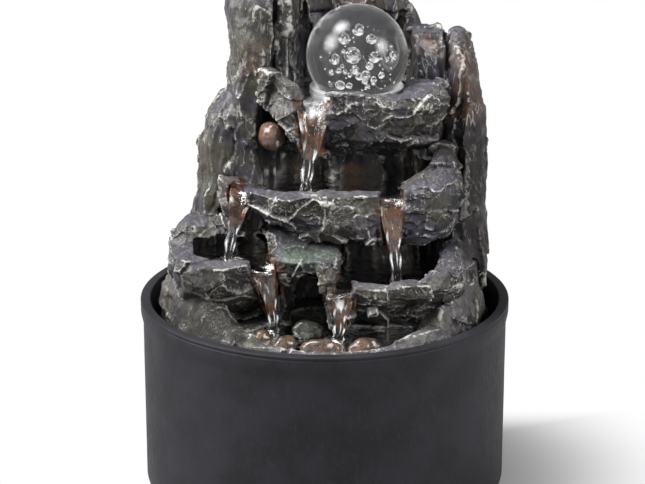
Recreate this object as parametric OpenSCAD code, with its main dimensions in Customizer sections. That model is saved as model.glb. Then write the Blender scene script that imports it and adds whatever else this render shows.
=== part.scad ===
// Tabletop water fountain: a round black bowl holds the water and a submersible
// pump, and a cast rock sculpture stands in it.  The pump lifts the water through
// the rock to a clear ball at the top, and it runs back over four pools.
// Origin: centre of the underside, on the table.  +Z is up, the front faces -Y.

/* [Bowl] */
// Outside diameter of the bowl's rim
bowl_d = 220; // [212:1:236]
// Height of the rim above the table
bowl_h = 120; // [114:1:130]
// Width of the flat rim
rim_w = 6; // [5:0.5:8]
// How far the rim stands out past the wall below it
rim_proud = 1.4; // [0.5:0.1:2.5]
// Height of the proud band under the rim
rim_band = 8; // [5:1:14]
// Thickness of the bowl's floor
floor_t = 5; // [4:0.5:8]
// Radius of the bowl's outer bottom edge
edge_r = 8; // [4:0.5:12]
// Width of the notch in the rear rim that the lead passes through
notch_w = 9; // [7:0.5:12]
// Depth of that notch below the rim
notch_depth = 12; // [9:0.5:16]

/* [Feet] */
// Diameter of each rubber foot
foot_d = 18; // [12:1:24]
// Height of each rubber foot
foot_h = 3; // [2.5:0.25:5]
// How deep the feet sit in the bowl's underside
foot_sunk = 1.5; // [1:0.25:2]
// Distance of the feet from the bowl's centre
foot_reach = 82; // [70:1:86]

/* [Rock] */
// Gap between the rock's foot and the inside of the bowl
rock_gap = 6; // [5:0.5:9]
// Thickness of the hollow foot's wall
shell_t = 8; // [6:0.5:12]
// Thickness of the foot's deck
deck_t = 14; // [12:0.5:20]
// How far the deck lies under the bowl's rim
deck_drop = 3; // [2:0.5:6]
// Height of the tallest slab above the bowl's rim
peak_rise = 188; // [180:1:200]
// Height of the upper pool's rim above the bowl's rim
upper_rise = 125; // [122:1:128]
// Height of the middle pool's rim above the bowl's rim
middle_rise = 73; // [70:1:75]
// Height of the left pool's rim above the bowl's rim
left_rise = 35; // [32:1:38]
// Height of the right pool's rim above the bowl's rim
right_rise = 26; // [24:1:29]
// Height of the water inlets at the rock's foot
inlet_h = 16; // [10:1:24]
// Width of the water inlets at the rock's foot
inlet_w = 26; // [16:1:34]

/* [Ball] */
// Diameter of the clear ball
ball_d = 60; // [56:1:62]
// Outside diameter of the clear ring that the ball turns in
ring_d = 56; // [54:0.5:57]
// Wall of the clear ring
ring_wall = 3.8; // [3:0.1:5]
// Height of the clear ring
ring_h = 8; // [6:0.5:9]
// Film of water between the ball and its ring
film = 0.3; // [0.25:0.05:0.6]

/* [Lamp] */
// Diameter of the lamp under the ball
lamp_d = 40; // [34:1:42]
// Height of the lamp's case
lamp_h = 5; // [4:0.5:6]
// Thickness of the lamp's clear lens
lens_t = 1.6; // [1:0.1:2]
// Number of light-emitting diodes in the lamp
led_count = 6; // [3:1:8]

/* [Pump] */
// Width of the pump's case
pump_w = 44; // [40:1:52]
// Depth of the pump's case
pump_d = 30; // [28:1:36]
// Height of the pump's case
pump_h = 34; // [32:1:42]
// Wall of the pump's case and its strainer
case_wall = 2; // [1.5:0.1:3]
// Outside diameter of the outlet spigot
spigot_d = 9.5; // [8:0.5:11]
// Length of the outlet spigot
spigot_h = 12; // [9:0.5:16]
// Diameter of the rotor's magnet
magnet_d = 16.4; // [14:0.2:18]
// Diameter of the impeller
impeller_d = 22; // [18:0.5:24]
// Width of the impeller's blades, along the shaft
blade_w = 4; // [3:0.5:5]
// Number of impeller blades
blade_count = 6; // [4:1:8]
// Diameter of the ceramic shaft
shaft_d = 2.2; // [1.8:0.1:3]
// Depth of the strainer cover
strainer_d = 16; // [14:0.5:22]
// Diameter of the flow dial
dial_d = 20; // [16:0.5:22]
// Diameter of each suction cup
cup_d = 13; // [10:0.5:16]
// Height of each suction cup
cup_h = 6; // [5:0.5:9]

/* [Tube] */
// Wall of the riser tube
tube_wall = 2; // [1.5:0.1:3]

/* [Fits] */
// Gap left for the adhesive where rock pieces are bonded
glue = 0.3; // [0.2:0.05:0.5]
// Radial clearance of turning and sliding fits
run = 0.1; // [0.05:0.01:0.1]
// Gap between pieces that lift or slide apart
part_gap = 0.4; // [0.3:0.05:0.6]

/* [Hidden] */

// Thickness of the slice that carries one level of a rock outline
skin = 0.4;
// Amount by which a cut runs past the face it opens
over = 1;

slate = [0.27, 0.27, 0.31];
resin_brown = [0.35, 0.25, 0.17];

// --- Bowl -------------------------------------------------------------------
rim_r = bowl_d / 2;
wall_r = rim_r - rim_proud;
inner_r = rim_r - rim_w;
floor_z = foot_h - foot_sunk + floor_t;
under_z = foot_h - foot_sunk;
// Steps in the swell under the rim, and the rim's broken outer edge
swell_steps = 6;
rim_soft = 0.6;
// Bevel round each foot's underside
foot_bevel = 1.2;

// --- Rock -------------------------------------------------------------------
// Foot radius that the rock's outlines are drawn for, and the scale they take
drawn_r = 98;
rock_r = inner_r - rock_gap;
spread = rock_r / drawn_r;
// The foot stands this far off the bowl's floor
foot_z = floor_z + part_gap;
skirt_taper = 2;
skirt_r = rock_r - 1 - skirt_taper;
deck_z = bowl_h - deck_drop;
bed_z = deck_z - deck_t;
// Tower heights are drawn above the deck, for this height of the tallest slab
drawn_peak = 191;
peak_z = bowl_h + peak_rise;
lift = (peak_z - deck_z) / drawn_peak;
upper_z = bowl_h + upper_rise;
middle_z = bowl_h + middle_rise;
left_z = bowl_h + left_rise;
right_z = bowl_h + right_rise;
// Front pool's bed under the deck
pool_drop = 8;
// Height of the upper basin's body between the tower's core and the pool bed
upper_body = 29;
// The upper pool's bed lies this far under its rim
upper_bed_drop = 10;
upper_bed_z = upper_z - upper_bed_drop;
core_z = upper_bed_z - upper_body;

// --- Ball, ring and lamp ------------------------------------------------------
// The ball, the lamp, the riser tube and the pump's spigot share one upright axis
axis_x = 19 * spread;
axis_y = 20 * spread;
ball_r = ball_d / 2;
ring_r = ring_d / 2;
ring_in = ring_r - ring_wall;
ring_z = upper_bed_z;
ring_top = ring_z + ring_h;
ball_z = ring_top + sqrt(pow(ball_r + film, 2) - pow(ring_in, 2));
// Well under the ball that holds the lamp
well_r = ring_in - 0.7;
well_z = upper_bed_z - 14;
lamp_r = lamp_d / 2;

// --- Pump ---------------------------------------------------------------------
pump_x = axis_x;
pump_y = axis_y;
// Radius of the case's upright edges
case_round = 3;
// Collar at the foot of the spigot
collar_r = spigot_d / 2 + 2;
collar_h = 1.5;
// The cups' stems, and how far in from the case's sides and from its front they stand
stem_r = 2;
stem_deep = 3;
stem_in = 2.6;
cup_lip = 1.4;
cup_reach_x = pump_w / 2 - 8;
cup_reach_y = pump_d / 2 - 7;
pump_z = floor_z + cup_h - 1;
pump_top = pump_z + pump_h;
spigot_r = spigot_d / 2;
spigot_bore = spigot_r - 1.25;
rotor_z = pump_z + pump_h * 0.47;
front_y = pump_y - pump_d / 2;
chamber_r = impeller_d / 2 + 2;
chamber_d = blade_w + 3.5;
hub_wall = 2;
blade_t = 1.2;
cover_t = 2.5;
cover_r = chamber_r + 2;
well_mag_r = magnet_d / 2 + 0.8;
// Free space in front of and behind the turning parts
end_play = 1;
magnet_l = pump_d - chamber_d - 7;
shaft_r = shaft_d / 2;
bush_r = shaft_r + 1.4;
bush_l = 3.5;
strainer_y = front_y - strainer_d;
dial_r = dial_d / 2;
// The chamber cover's inlet, the thickness of its ribs and the dial's hub behind its disc
eye_r = dial_r * 0.62;
rib_t = 2.2;
dial_t = 2;
hub_r = dial_r * 0.55;
// Edge that latches the hub behind the cover, the dial's finger bar and its two ports
latch_w = 1.2;
latch_t = 1.5;
bar_w = 2;
bar_h = 2.5;
port_r = 1.6;
// Inlet slots: their number, width and height on the front, then on the sides
slots_front = 6;
slot_w = 5;
slot_h = 2;
slots_side = 3;
side_slot_w = 1.6;
side_slot_step = 3.2;
slot_clear = 6;

// --- Tube ---------------------------------------------------------------------
tube_in = spigot_r + run;
tube_r = tube_in + tube_wall;
tube_z = pump_top + 2;
tube_top = well_z + lamp_h + 1;
bore_r = tube_r + glue;

// =============================================================================
// Rock-making tools
// =============================================================================

// One level of a rock: its height and its outline, grown by a gap where asked.
module ledge(level, rise, grow)
    translate([0, 0, level[0] + rise])
        linear_extrude(skin)
            offset(delta = grow)
                polygon(spread * level[1]);

// A block of rock: level outlines, lowest first, hulled one to the next.
module crag(levels, grow = 0)
    for (i = [0 : len(levels) - 2])
        hull() {
            ledge(levels[i], i == 0 ? -grow : 0, grow);
            ledge(levels[i + 1], i == len(levels) - 2 ? grow : 0, grow);
        }

// Height of a tower level drawn above the deck.
function up(h) = deck_z + h * lift;

// Outline of an oval stone or pool.
function oval(x, y, rx, ry, turn = 0, n = 9) = [
    for (i = [0 : n - 1])
        let (a = 360 * i / n, px = rx * cos(a), py = ry * sin(a))
        [x + px * cos(turn) - py * sin(turn), y + px * sin(turn) + py * cos(turn)]];

// Wavy round outline of the rock's foot.
function foot_outline(r) = [
    for (a = [0 : 15 : 345])
        let (w = r - 1 + sin(5 * a + 20) * 0.6 + cos(9 * a) * 0.4)
        [w * cos(a), w * sin(a)]];

// Straight upright bore for the riser tube, from the foot to the lamp's well.
module riser_bore()
    translate([axis_x, axis_y, bed_z - over])
        cylinder(r = bore_r, h = well_z - bed_z + 2 * over, $fn = 24);

// =============================================================================
// Rock forms, before they are seated on each other
// =============================================================================

module tower_form(grow = 0) {
    // Core that the pools are built out from
    crag([
        [deck_z + glue, [[-72, 14], [-34, -2], [40, -4], [70, 4], [84, 34], [48, 74], [-42, 74], [-76, 42]]],
        [up(40), [[-66, 16], [-32, 6], [40, 4], [66, 10], [80, 36], [46, 72], [-40, 72], [-70, 42]]],
        [up(66), [[-60, 18], [-30, 8], [44, 7], [66, 14], [76, 38], [44, 70], [-38, 70], [-64, 42]]],
        [core_z - glue, [[-50, 16], [-30, 8], [44, 7], [66, 16], [74, 40], [42, 70], [-36, 70], [-56, 42]]]
    ], grow);
    // Wall behind the ball
    crag([
        [up(60), [[-36, 54], [60, 54], [68, 60], [42, 72], [-34, 72], [-50, 60]]],
        [up(112), [[-32, 54], [58, 54], [66, 60], [42, 72], [-30, 72], [-46, 58]]],
        [up(150), [[-28, 54], [54, 54], [60, 60], [40, 70], [-28, 71], [-42, 58]]],
        [up(170), [[-28, 55], [46, 54], [50, 60], [38, 68], [-27, 69], [-38, 58]]]
    ], grow);
    // Peak left of the notch
    crag([
        [up(165), [[-26, 52], [12, 53], [13, 62], [-2, 68], [-24, 68]]],
        [up(182), [[-22, 53], [8, 54], [8, 61], [-4, 66], [-20, 66]]],
        [up(188), [[-16, 55], [0, 56], [0, 61], [-12, 63]]]
    ], grow);
    // Peak right of the notch
    crag([
        [up(165), [[22, 51], [40, 46], [49, 50], [50, 60], [38, 68], [24, 66]]],
        [up(178), [[26, 51], [38, 47], [44, 52], [44, 60], [34, 64], [26, 62]]],
        [up(184), [[30, 52], [36, 51], [39, 55], [36, 60], [30, 60]]]
    ], grow);
    // Low slab at the left shoulder
    crag([
        [deck_z + glue, [[-90, 6], [-80, -10], [-55, -14], [-42, -3], [-39, 40], [-60, 56], [-82, 40]]],
        [up(44), [[-82, 8], [-75, -6], [-54, -10], [-41, 1], [-40, 40], [-58, 48], [-77, 34]]],
        [up(53), [[-79, 11], [-72, 1], [-56, -4], [-42, 4], [-41, 39], [-58, 47], [-75, 34]]],
        [up(88), [[-75, 13], [-69, 3], [-54, -2], [-42, 5], [-42, 38], [-56, 44], [-72, 32]]],
        [up(111), [[-70, 16], [-64, 6], [-52, 2], [-42, 8], [-42, 34], [-54, 40], [-67, 30]]],
        [up(122), [[-60, 20], [-56, 12], [-48, 9], [-44, 14], [-44, 30], [-50, 34], [-58, 28]]]
    ], grow);
    // Tall slab at the left
    crag([
        [up(40), [[-60, 20], [-52, -8], [-36, -8], [-28, 12], [-30, 48], [-48, 58], [-60, 42]]],
        [up(90), [[-58, 22], [-52, 0], [-40, -2], [-32, 12], [-31, 47], [-48, 56], [-58, 40]]],
        [up(123), [[-57, 24], [-51, 4], [-39, 4], [-33, 14], [-32, 46], [-47, 54], [-56, 38]]],
        [up(145), [[-53, 24], [-46, 5], [-36, 6], [-32, 16], [-31, 45], [-45, 52], [-53, 38]]],
        [up(173), [[-55, 27], [-40, 8], [-34, 12], [-31, 22], [-30, 44], [-43, 51], [-54, 40]]],
        [up(186), [[-51, 30], [-39, 17], [-33, 20], [-31, 38], [-41, 47], [-50, 40]]],
        [peak_z, [[-45, 32], [-39, 26], [-35, 30], [-36, 38], [-42, 41]]]
    ], grow);
    // Slate slab between the tall slab and the wall behind the ball
    crag([
        [up(86), [[-34, 14], [-26, 8], [-16, 12], [-13, 34], [-16, 56], [-33, 56]]],
        [up(128), [[-33, 22], [-29, 12], [-20, 13], [-16, 32], [-17, 56], [-32, 56]]],
        [up(150), [[-33, 23], [-28, 14], [-21, 14], [-17, 32], [-18, 56], [-32, 56]]],
        [up(176), [[-32, 27], [-27, 18], [-22, 18], [-18, 34], [-19, 55], [-31, 54]]],
        [up(187), [[-31, 34], [-27, 26], [-23, 27], [-21, 38], [-22, 50], [-30, 48]]]
    ], grow);
    // Ledge at the right of the ball
    crag([
        [up(86), [[48, 10], [66, 6], [74, 20], [72, 58], [46, 64], [46, 34]]],
        [up(118), [[53, 14], [67, 10], [72, 26], [70, 58], [50, 62], [50, 46]]],
        [up(145), [[54, 18], [66, 14], [70, 28], [69, 58], [50, 60], [51, 46]]],
        [up(152), [[53, 26], [66, 20], [70, 32], [68, 56], [50, 58], [50, 46]]],
        [up(156), [[52, 40], [64, 36], [69, 42], [66, 54], [51, 56]]]
    ], grow);
    // Narrow slab beside the ledge
    crag([
        [up(108), [[66, 12], [72, 10], [74, 40], [66, 42]]],
        [up(145), [[67, 16], [72, 14], [74, 40], [67, 42]]],
        [up(157), [[68, 24], [71, 22], [73, 36], [68, 38]]]
    ], grow);
    // Pillar at the right
    crag([
        [deck_z + glue, [[62, -8], [84, -26], [94, -8], [96, 12], [89, 36], [70, 50], [60, 30]]],
        [up(46), [[66, -2], [82, -12], [94, 4], [95, 18], [88, 38], [70, 50], [62, 30]]],
        [up(73), [[70, 6], [82, -4], [92, 8], [94, 20], [87, 38], [72, 48], [66, 28]]],
        [up(105), [[72, 10], [84, 2], [94, 12], [95, 22], [89, 38], [74, 46], [68, 28]]],
        [up(131), [[74, 14], [82, 8], [90, 16], [92, 26], [86, 40], [74, 46], [72, 30]]],
        [up(151), [[75, 22], [79, 17], [86, 24], [88, 32], [84, 42], [76, 44], [73, 34]]],
        [up(158), [[77, 28], [79, 25], [83, 28], [83, 34], [80, 37], [77, 34]]]
    ], grow);
}

module upper_form(grow = 0) {
    // Body under the pool and block at its right
    crag([
        [core_z, [[-20, 4], [4, 0], [46, 0], [62, 8], [66, 30], [50, 58], [-20, 58], [-34, 30]]],
        [core_z + 12, [[-22, 0], [-4, -13], [20, -16], [44, -14], [58, -8], [67, 4], [67, 34], [50, 56], [-24, 56]]],
        [upper_z - 11, [[-28, 4], [-3, -15], [20, -19], [44, -17], [60, -13], [70, 0], [70, 34], [52, 58], [-30, 58]]],
        [upper_z - 4, [[-2, -16], [20, -21], [42, -19], [58, -17], [71, -4], [71, 30], [52, 56], [-2, 56]]]
    ], grow);
    // Rim of the right block
    crag([
        [upper_z - 5, [[2, -17], [20, -21], [42, -19], [42, -2], [2, -2]]],
        [upper_z + 1, [[4, -17], [17, -20], [20, -18.5], [19, -8], [6, -8]]]
    ], grow);
    crag([
        [upper_z - 5.5, [[18, -20.6], [42, -19.4], [60, -16], [60, 0], [18, -4]]],
        [upper_z - 1, [[20, -20], [40, -17], [56, -16], [56, -4], [20, -10]]]
    ], grow);
    crag([
        [upper_z - 5, [[40, -19], [58, -17], [71, -4], [71, 30], [50, 34], [44, 0]]],
        [upper_z, [[44, -17], [57, -16], [69, -4], [69, 24], [52, 28], [48, 4]]],
        [upper_z + 4, [[60, -4], [68, -2], [69, 22], [56, 24]]]
    ], grow);
    // Horn at the left
    crag([
        [upper_z - 27, [[-19, -11], [-15, -14], [-12, -11], [-12, 0], [-18, 0]]],
        [upper_z - 17, [[-29, -5], [-16, -15], [-11, -12], [-12, 6], [-28, 8]]],
        [upper_z - 8, [[-40, 4], [-21, -15], [-13, -11], [-14, 9], [-34, 16]]],
        [upper_z + 2, [[-38, 5], [-23, -13], [-16, -10], [-16, 4], [-32, 14]]],
        [upper_z + 6, [[-39, 6], [-24.5, -12], [-19, -9], [-20, -2], [-33, 12]]],
        [upper_z + 12, [[-39, 7], [-34, 1], [-31, 4], [-34, 11]]]
    ], grow);
    // Chute between the horn and the block
    crag([
        [upper_z - 36, [[-11.5, -15], [-3.5, -16], [-1, -6], [-13, -6]]],
        [upper_z - 24, [[-16, -14], [-1, -16.5], [4, 0], [-17, 1]]],
        [upper_z - 8, [[-18, -12], [5, -15], [6, 11], [-19, 12]]]
    ], grow);
}

// Hollows of the upper basin: the pool round the ring and the chute's bed.
module upper_pool() {
    crag([
        [upper_bed_z, [[-14, -6], [2, -8], [40, -7], [47, 2], [50, 22], [46, 44], [-24, 44], [-28, 14]]],
        [upper_z + 2, [[-14, -7], [4, -9], [20, -10], [41, -8], [48, 2], [52, 22], [48, 46], [-24, 46], [-30, 12]]],
        [upper_z + 30, [[-16, -6], [4, -10], [20, -11], [41, -9], [49, 2], [53, 22], [49, 50], [-24, 50], [-30, 12]]]
    ]);
    crag([
        [upper_z - 37, [[-10.5, -17], [-4.5, -17], [-6.5, -13.5], [-8.5, -13.5]]],
        [upper_z - 22, [[-13.5, -18], [-1, -18], [-4, -11], [-10, -11]]],
        [upper_z - 7, [[-17, -20], [5, -20], [0, -5], [-12, -5]]],
        [upper_z + 20, [[-18, -21], [6, -21], [1, -4], [-13, -4]]]
    ]);
    translate([axis_x, axis_y, well_z])
        cylinder(r = well_r, h = upper_z - well_z, $fn = 36);
    translate([axis_x, axis_y, upper_bed_z])
        cylinder(r = ring_r + 1.2, h = upper_z - upper_bed_z + 30, $fn = 48);
}

module middle_form(grow = 0) {
    // Front block
    crag([
        [middle_z - 27, [[-8, -38], [10, -41], [26, -42], [32, -28], [24, 12], [-12, 12]]],
        [middle_z - 17, [[-30, -38], [-5, -45], [15, -46], [30, -44], [34, -28], [30, 12], [-34, 12]]],
        [middle_z - 8, [[-44, -33], [-28, -44], [8, -48], [31, -46], [34, -30], [34, 14], [-48, 10]]],
        [middle_z, [[-46, -31], [-28, -45], [-12, -47], [10, -46], [31, -46], [34, -34], [36, 14], [-50, 10]]]
    ], grow);
    // Left chute and the flank beside it
    crag([
        [middle_z - 32, [[-54, -14], [-47, -16], [-44, 2], [-56, 4]]],
        [middle_z - 20, [[-55, -28], [-46.5, -30], [-43, -12], [-57, -10]]],
        [middle_z - 8, [[-58, -26], [-45, -31.5], [-41, -8], [-61, -6]]],
        [middle_z, [[-58, -24], [-45, -30.5], [-40, 6], [-61.5, 2]]]
    ], grow);
    // Block at the right
    crag([
        [middle_z - 28, [[44, -38], [58, -42], [70, -35], [76, -16], [72, 10], [40, 10]]],
        [middle_z - 13, [[42, -43], [60, -47], [74, -36], [80, -14], [72, 12], [40, 12]]],
        [middle_z + 1, [[43, -45], [62, -48], [76, -32], [80, -10], [72, 12], [44, -10]]],
        [middle_z + 6, [[52, -40], [62, -44], [76, -28], [79, -8], [72, 12], [50, -24]]],
        [middle_z + 11, [[64, -30], [74, -24], [78, -6], [72, 12], [62, 0]]],
        [middle_z + 19, [[70, -14], [75, -12], [76, 3], [72, 11], [66, 2]]]
    ], grow);
    // Right chute
    crag([
        [middle_z - 33, [[32, -41], [44, -41], [46, -24], [31, -24]]],
        [middle_z - 18, [[30, -43], [46.5, -43], [48, -12], [29, -12]]],
        [middle_z - 4, [[29, -44], [47, -44], [48, 1], [28, 1]]]
    ], grow);
}

module middle_pool() {
    crag([
        [middle_z - 13, [[-38, -26], [-20, -28], [32, -29], [52, -20], [58, -2], [58, 30], [-42, 30]]],
        [middle_z - 5, [[-48, -20], [-40, -28], [-20, -31], [32, -32], [50, -26], [62, -2], [62, 30], [-54, 30]]],
        [middle_z + 40, [[-50, -22], [-40, -29], [-20, -31], [32, -33], [48, -30], [64, -2], [64, 30], [-56, 30]]]
    ]);
    // Beds of the two chutes
    crag([
        [middle_z - 21, [[-54, -33], [-48, -34], [-50, -26], [-52, -25.5]]],
        [middle_z - 4, [[-59, -36], [-44.5, -36], [-47.5, -18], [-54, -15]]],
        [middle_z + 20, [[-60, -38], [-43.5, -38], [-47, -17], [-55, -14]]]
    ]);
    crag([
        [middle_z - 34, [[34, -42.5], [42, -42.5], [39.5, -38], [36.5, -38]]],
        [middle_z - 18, [[31.5, -46], [45, -46], [41, -34], [35.5, -34]]],
        [middle_z - 4, [[29.5, -48], [47.5, -48], [43, -25], [33.5, -25]]],
        [middle_z + 20, [[29, -50], [48, -50], [43.5, -24], [33, -24]]]
    ]);
}

// Recess in the tower behind the middle pool, under the upper basin.  A rough column is left
// standing in it round the riser.
module grotto()
    difference() {
        crag([
            [middle_z - 9, [[-38, -30], [58, -30], [60, -4], [52, 15], [-24, 15], [-37, 4]]],
            [middle_z + 9, [[-37, -30], [58, -30], [59, -6], [50, 18], [-22, 17], [-36, 2]]],
            [middle_z + 21, [[-34, -30], [56, -30], [56, -8], [46, 6], [-18, 5], [-33, -2]]]
        ]);
        crag([
            [middle_z - 12, [[2, 3], [20, -1], [38, 4], [44, 30], [-6, 30]]],
            [middle_z + 3, [[6, 6], [20, 3], [33, 7], [36, 30], [2, 30]]],
            [middle_z + 24, [[4, 5], [18, 2], [36, 4], [40, 30], [0, 30]]]
        ]);
    }

module left_form(grow = 0) {
    // Pedestal, set back under the basin
    crag([
        [deck_z + glue, [[-88, -12], [-80, -32], [-56, -38], [-36, -32], [-30, -8], [-40, 4], [-76, 8]]],
        [left_z - 18, [[-88, -18], [-82, -44], [-62, -50], [-42, -44], [-32, -30], [-34, 0], [-82, 6]]]
    ], grow);
    // Basin wall
    crag([
        [left_z - 18, [[-88, -20], [-81, -48], [-62, -55], [-44, -48], [-34, -32], [-34, 0], [-84, 6]]],
        [left_z - 7, [[-91, -18], [-84, -48], [-70, -57], [-60, -59], [-44, -53], [-34, -34], [-34, 2], [-88, 4]]],
        [left_z, [[-91, -16], [-90, -28], [-82, -46], [-70, -58], [-58, -60], [-45, -55], [-40, -30], [-40, 2], [-88, 2]]]
    ], grow);
    // Rim that rises and turns back over the pool
    crag([
        [left_z - 2, [[-91, -14], [-84, -20], [-74, -17], [-66, 8], [-80, 12], [-89, 2]]],
        [left_z + 6, [[-88.5, -6], [-83, -15], [-66, -14.5], [-47, -12.5], [-44, 3], [-62, 11], [-79, 12], [-87, 6]]],
        [left_z + 11, [[-86, -3], [-82, -11], [-66, -11.5], [-49, -9], [-46, 3], [-62, 10], [-78, 11], [-85, 6]]],
        [left_z + 14, [[-82, 2], [-72, -4], [-60, -4], [-56, 4], [-66, 9], [-78, 9]]]
    ], grow);
    // Chute
    crag([
        [left_z - 31, [[-36, -46], [-27, -46], [-25, -28], [-38, -28]]],
        [left_z - 16, [[-41, -49], [-26, -47.5], [-24, -24], [-42, -24]]],
        [left_z - 3, [[-47, -52], [-27, -46], [-24.5, -18], [-47, -18]]]
    ], grow);
}

module left_pool() {
    crag([
        [left_z - 15, [[-74, -18], [-70, -34], [-58, -42], [-44, -40], [-32, -30], [-32, -2], [-60, 0], [-70, -6]]],
        [left_z - 5, [[-77, -16], [-76, -30], [-68, -42], [-58, -48], [-46, -46], [-32, -34], [-31, 0], [-60, 2], [-73, -4]]],
        [left_z + 5, [[-78, -15], [-77, -30], [-68, -43], [-58, -49], [-44, -48], [-30, -36], [-30, -1], [-60, 1], [-74, -5]]]
    ]);
    crag([
        [left_z + 3, [[-78, -17], [-77, -31], [-67.5, -43], [-58, -49], [-44, -48], [-30, -36], [-30, -11], [-47, -14], [-67, -16]]],
        [left_z + 30, [[-79, -18], [-78, -32], [-67.5, -44], [-58, -50], [-44, -49], [-29, -36], [-29, -10], [-47, -13], [-67, -15]]]
    ]);
    crag([
        [left_z - 32, [[-35, -47], [-28, -47], [-30.5, -43], [-32.5, -43]]],
        [left_z - 16, [[-39.5, -52], [-27.5, -52], [-31, -40], [-35, -40]]],
        [left_z - 4, [[-46, -58], [-27, -58], [-31.5, -35], [-41, -35]]],
        [left_z + 20, [[-47, -60], [-26.5, -60], [-31, -34], [-42, -34]]]
    ]);
}

module right_form(grow = 0) {
    // Pedestal, set back under the basin
    crag([
        [deck_z + glue, [[16, -40], [50, -48], [70, -42], [83, -27], [78, -4], [60, 4], [10, -2]]],
        [right_z - 14, [[12, -56], [50, -58], [72, -48], [84, -26], [78, 0], [8, -4]]]
    ], grow);
    // Basin wall
    crag([
        [right_z - 14, [[12, -66], [30, -66], [52, -62], [74, -50], [84, -26], [80, 0], [8, -4]]],
        [right_z - 7, [[12, -69], [32, -71], [52, -68], [76, -50], [85, -26], [82, 2], [8, -4]]],
        [right_z, [[16, -71], [42, -73], [56, -69], [72, -55], [83, -34], [85, -14], [80, 4], [14, -30]]]
    ], grow);
    // Rim rising towards the right
    crag([
        [right_z - 3, [[50, -69], [62, -65], [76, -52], [85, -30], [84, -10], [68, -20], [56, -48]]],
        [right_z + 5, [[60, -60], [72, -53], [83, -34], [84, -12], [70, -22], [62, -44]]],
        [right_z + 13, [[69, -44], [74, -44], [80, -32], [78, -16], [70, -26]]]
    ], grow);
    // Chute
    crag([
        [right_z - 25, [[4, -64], [14, -65], [17, -44], [2, -44]]],
        [right_z - 12, [[1.5, -65], [17, -68], [18, -40], [0, -40]]],
        [right_z - 2, [[2, -62], [19, -69], [19, -30], [0, -30]]]
    ], grow);
}

module right_pool() {
    crag([
        [right_z - 12, [[4, -48], [20, -58], [50, -56], [64, -42], [70, -24], [68, 6], [4, 6]]],
        [right_z - 3, [[4, -52], [20, -61], [36, -62], [52, -58], [64, -46], [71, -28], [70, 8], [4, 8]]],
        [right_z + 40, [[4, -53], [19, -62], [36, -63], [53, -59], [65, -47], [72, -28], [71, 8], [4, 8]]]
    ]);
    crag([
        [right_z - 26, [[5, -66], [13, -66], [10.5, -61], [7.5, -61]]],
        [right_z - 12, [[3, -70], [16, -70], [12, -58], [7, -58]]],
        [right_z - 3, [[2.5, -73], [18.5, -73], [14, -52], [7, -52]]],
        [right_z + 20, [[2, -75], [19, -75], [14.5, -50], [6.5, -50]]]
    ]);
}

module centre_form(grow = 0) {
    // Left leg of the arch, beside the left chute
    crag([
        [deck_z + glue, [[-31, -42], [-24, -43], [-21, -17], [-32, -16]]],
        [left_z - 20, [[-30.5, -46], [-23, -46], [-18, -18], [-31, -17]]],
        [left_z - 6, [[-30, -46.5], [-20, -49], [-12, -18], [-31.5, -17]]]
    ], grow);
    // Arch over the cave
    crag([
        [left_z - 7, [[-29.5, -45], [-21, -50.5], [-9, -46], [-2, -52], [6, -49], [8.5, -14], [-29, -10]]],
        [left_z + 1, [[-30, -46], [-20, -52], [-8, -51], [2, -54.5], [9, -47], [10, -10.5], [-30.5, -11]]],
        [left_z + 6, [[-30.5, -42], [-18, -44], [-4, -43], [5, -40], [9, -30], [9.5, -9], [-31, -10.5]]],
        [left_z + 11, [[-30, -34], [-16, -30], [0, -26], [5.5, -9.5], [-30, -9.5]]]
    ], grow);
    // Fin that hangs at its right
    crag([
        [right_z - 13, [[-1, -57], [2.5, -60], [5, -54], [2, -46]]],
        [right_z + 1, [[-4, -55], [4, -61.5], [8.5, -55], [5, -36], [-2, -42]]],
        [right_z + 11.5, [[-7, -51], [2.5, -58], [9.5, -48], [8, -28], [-5, -34]]]
    ], grow);
}

module deck_form(grow = 0) {
    // Round deck
    crag([
        [bed_z, foot_outline(drawn_r)],
        [deck_z - 4, foot_outline(drawn_r)],
        [deck_z, foot_outline(drawn_r - 2.5)]
    ], grow);
    // Fan-shaped slope at the left
    crag([
        [deck_z - 4, [[-98, 6], [-97, -14], [-89, -40], [-71, -66], [-50, -80], [-50, -30], [-70, 30], [-93, 26]]],
        [deck_z + 7, [[-95, 4], [-93, -16], [-85, -40], [-68, -62], [-54, -62], [-60, -20], [-86, 22]]],
        [deck_z + 19, [[-89, 2], [-87, -18], [-79, -36], [-70, -42], [-66, -20], [-80, 10]]]
    ], grow);
    // Flank at the right
    crag([
        [deck_z - 4, [[97, 2], [94, -24], [84, -46], [66, -68], [52, -60], [60, 20], [90, 34]]],
        [deck_z + 9, [[94, 2], [90, -24], [80, -46], [66, -58], [60, -40], [62, 16], [88, 32]]],
        [deck_z + 26, [[91, 4], [87, -18], [78, -34], [70, -24], [70, 10], [84, 26]]]
    ], grow);
    // Crust round the front pool
    crag([
        [deck_z - 4, [[-66, -68], [-58, -77], [-40, -87], [-30, -84], [-34, -68], [-50, -56]]],
        [deck_z + 4, [[-60, -64], [-56, -72], [-42, -80], [-36, -78], [-40, -68], [-50, -60]]]
    ], grow);
    crag([
        [deck_z - 4, [[36, -88], [56, -79], [70, -66], [66, -58], [50, -64], [34, -76]]],
        [deck_z + 3, [[40, -82], [56, -74], [66, -64], [60, -60], [50, -66], [38, -76]]]
    ], grow);
}

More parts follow.
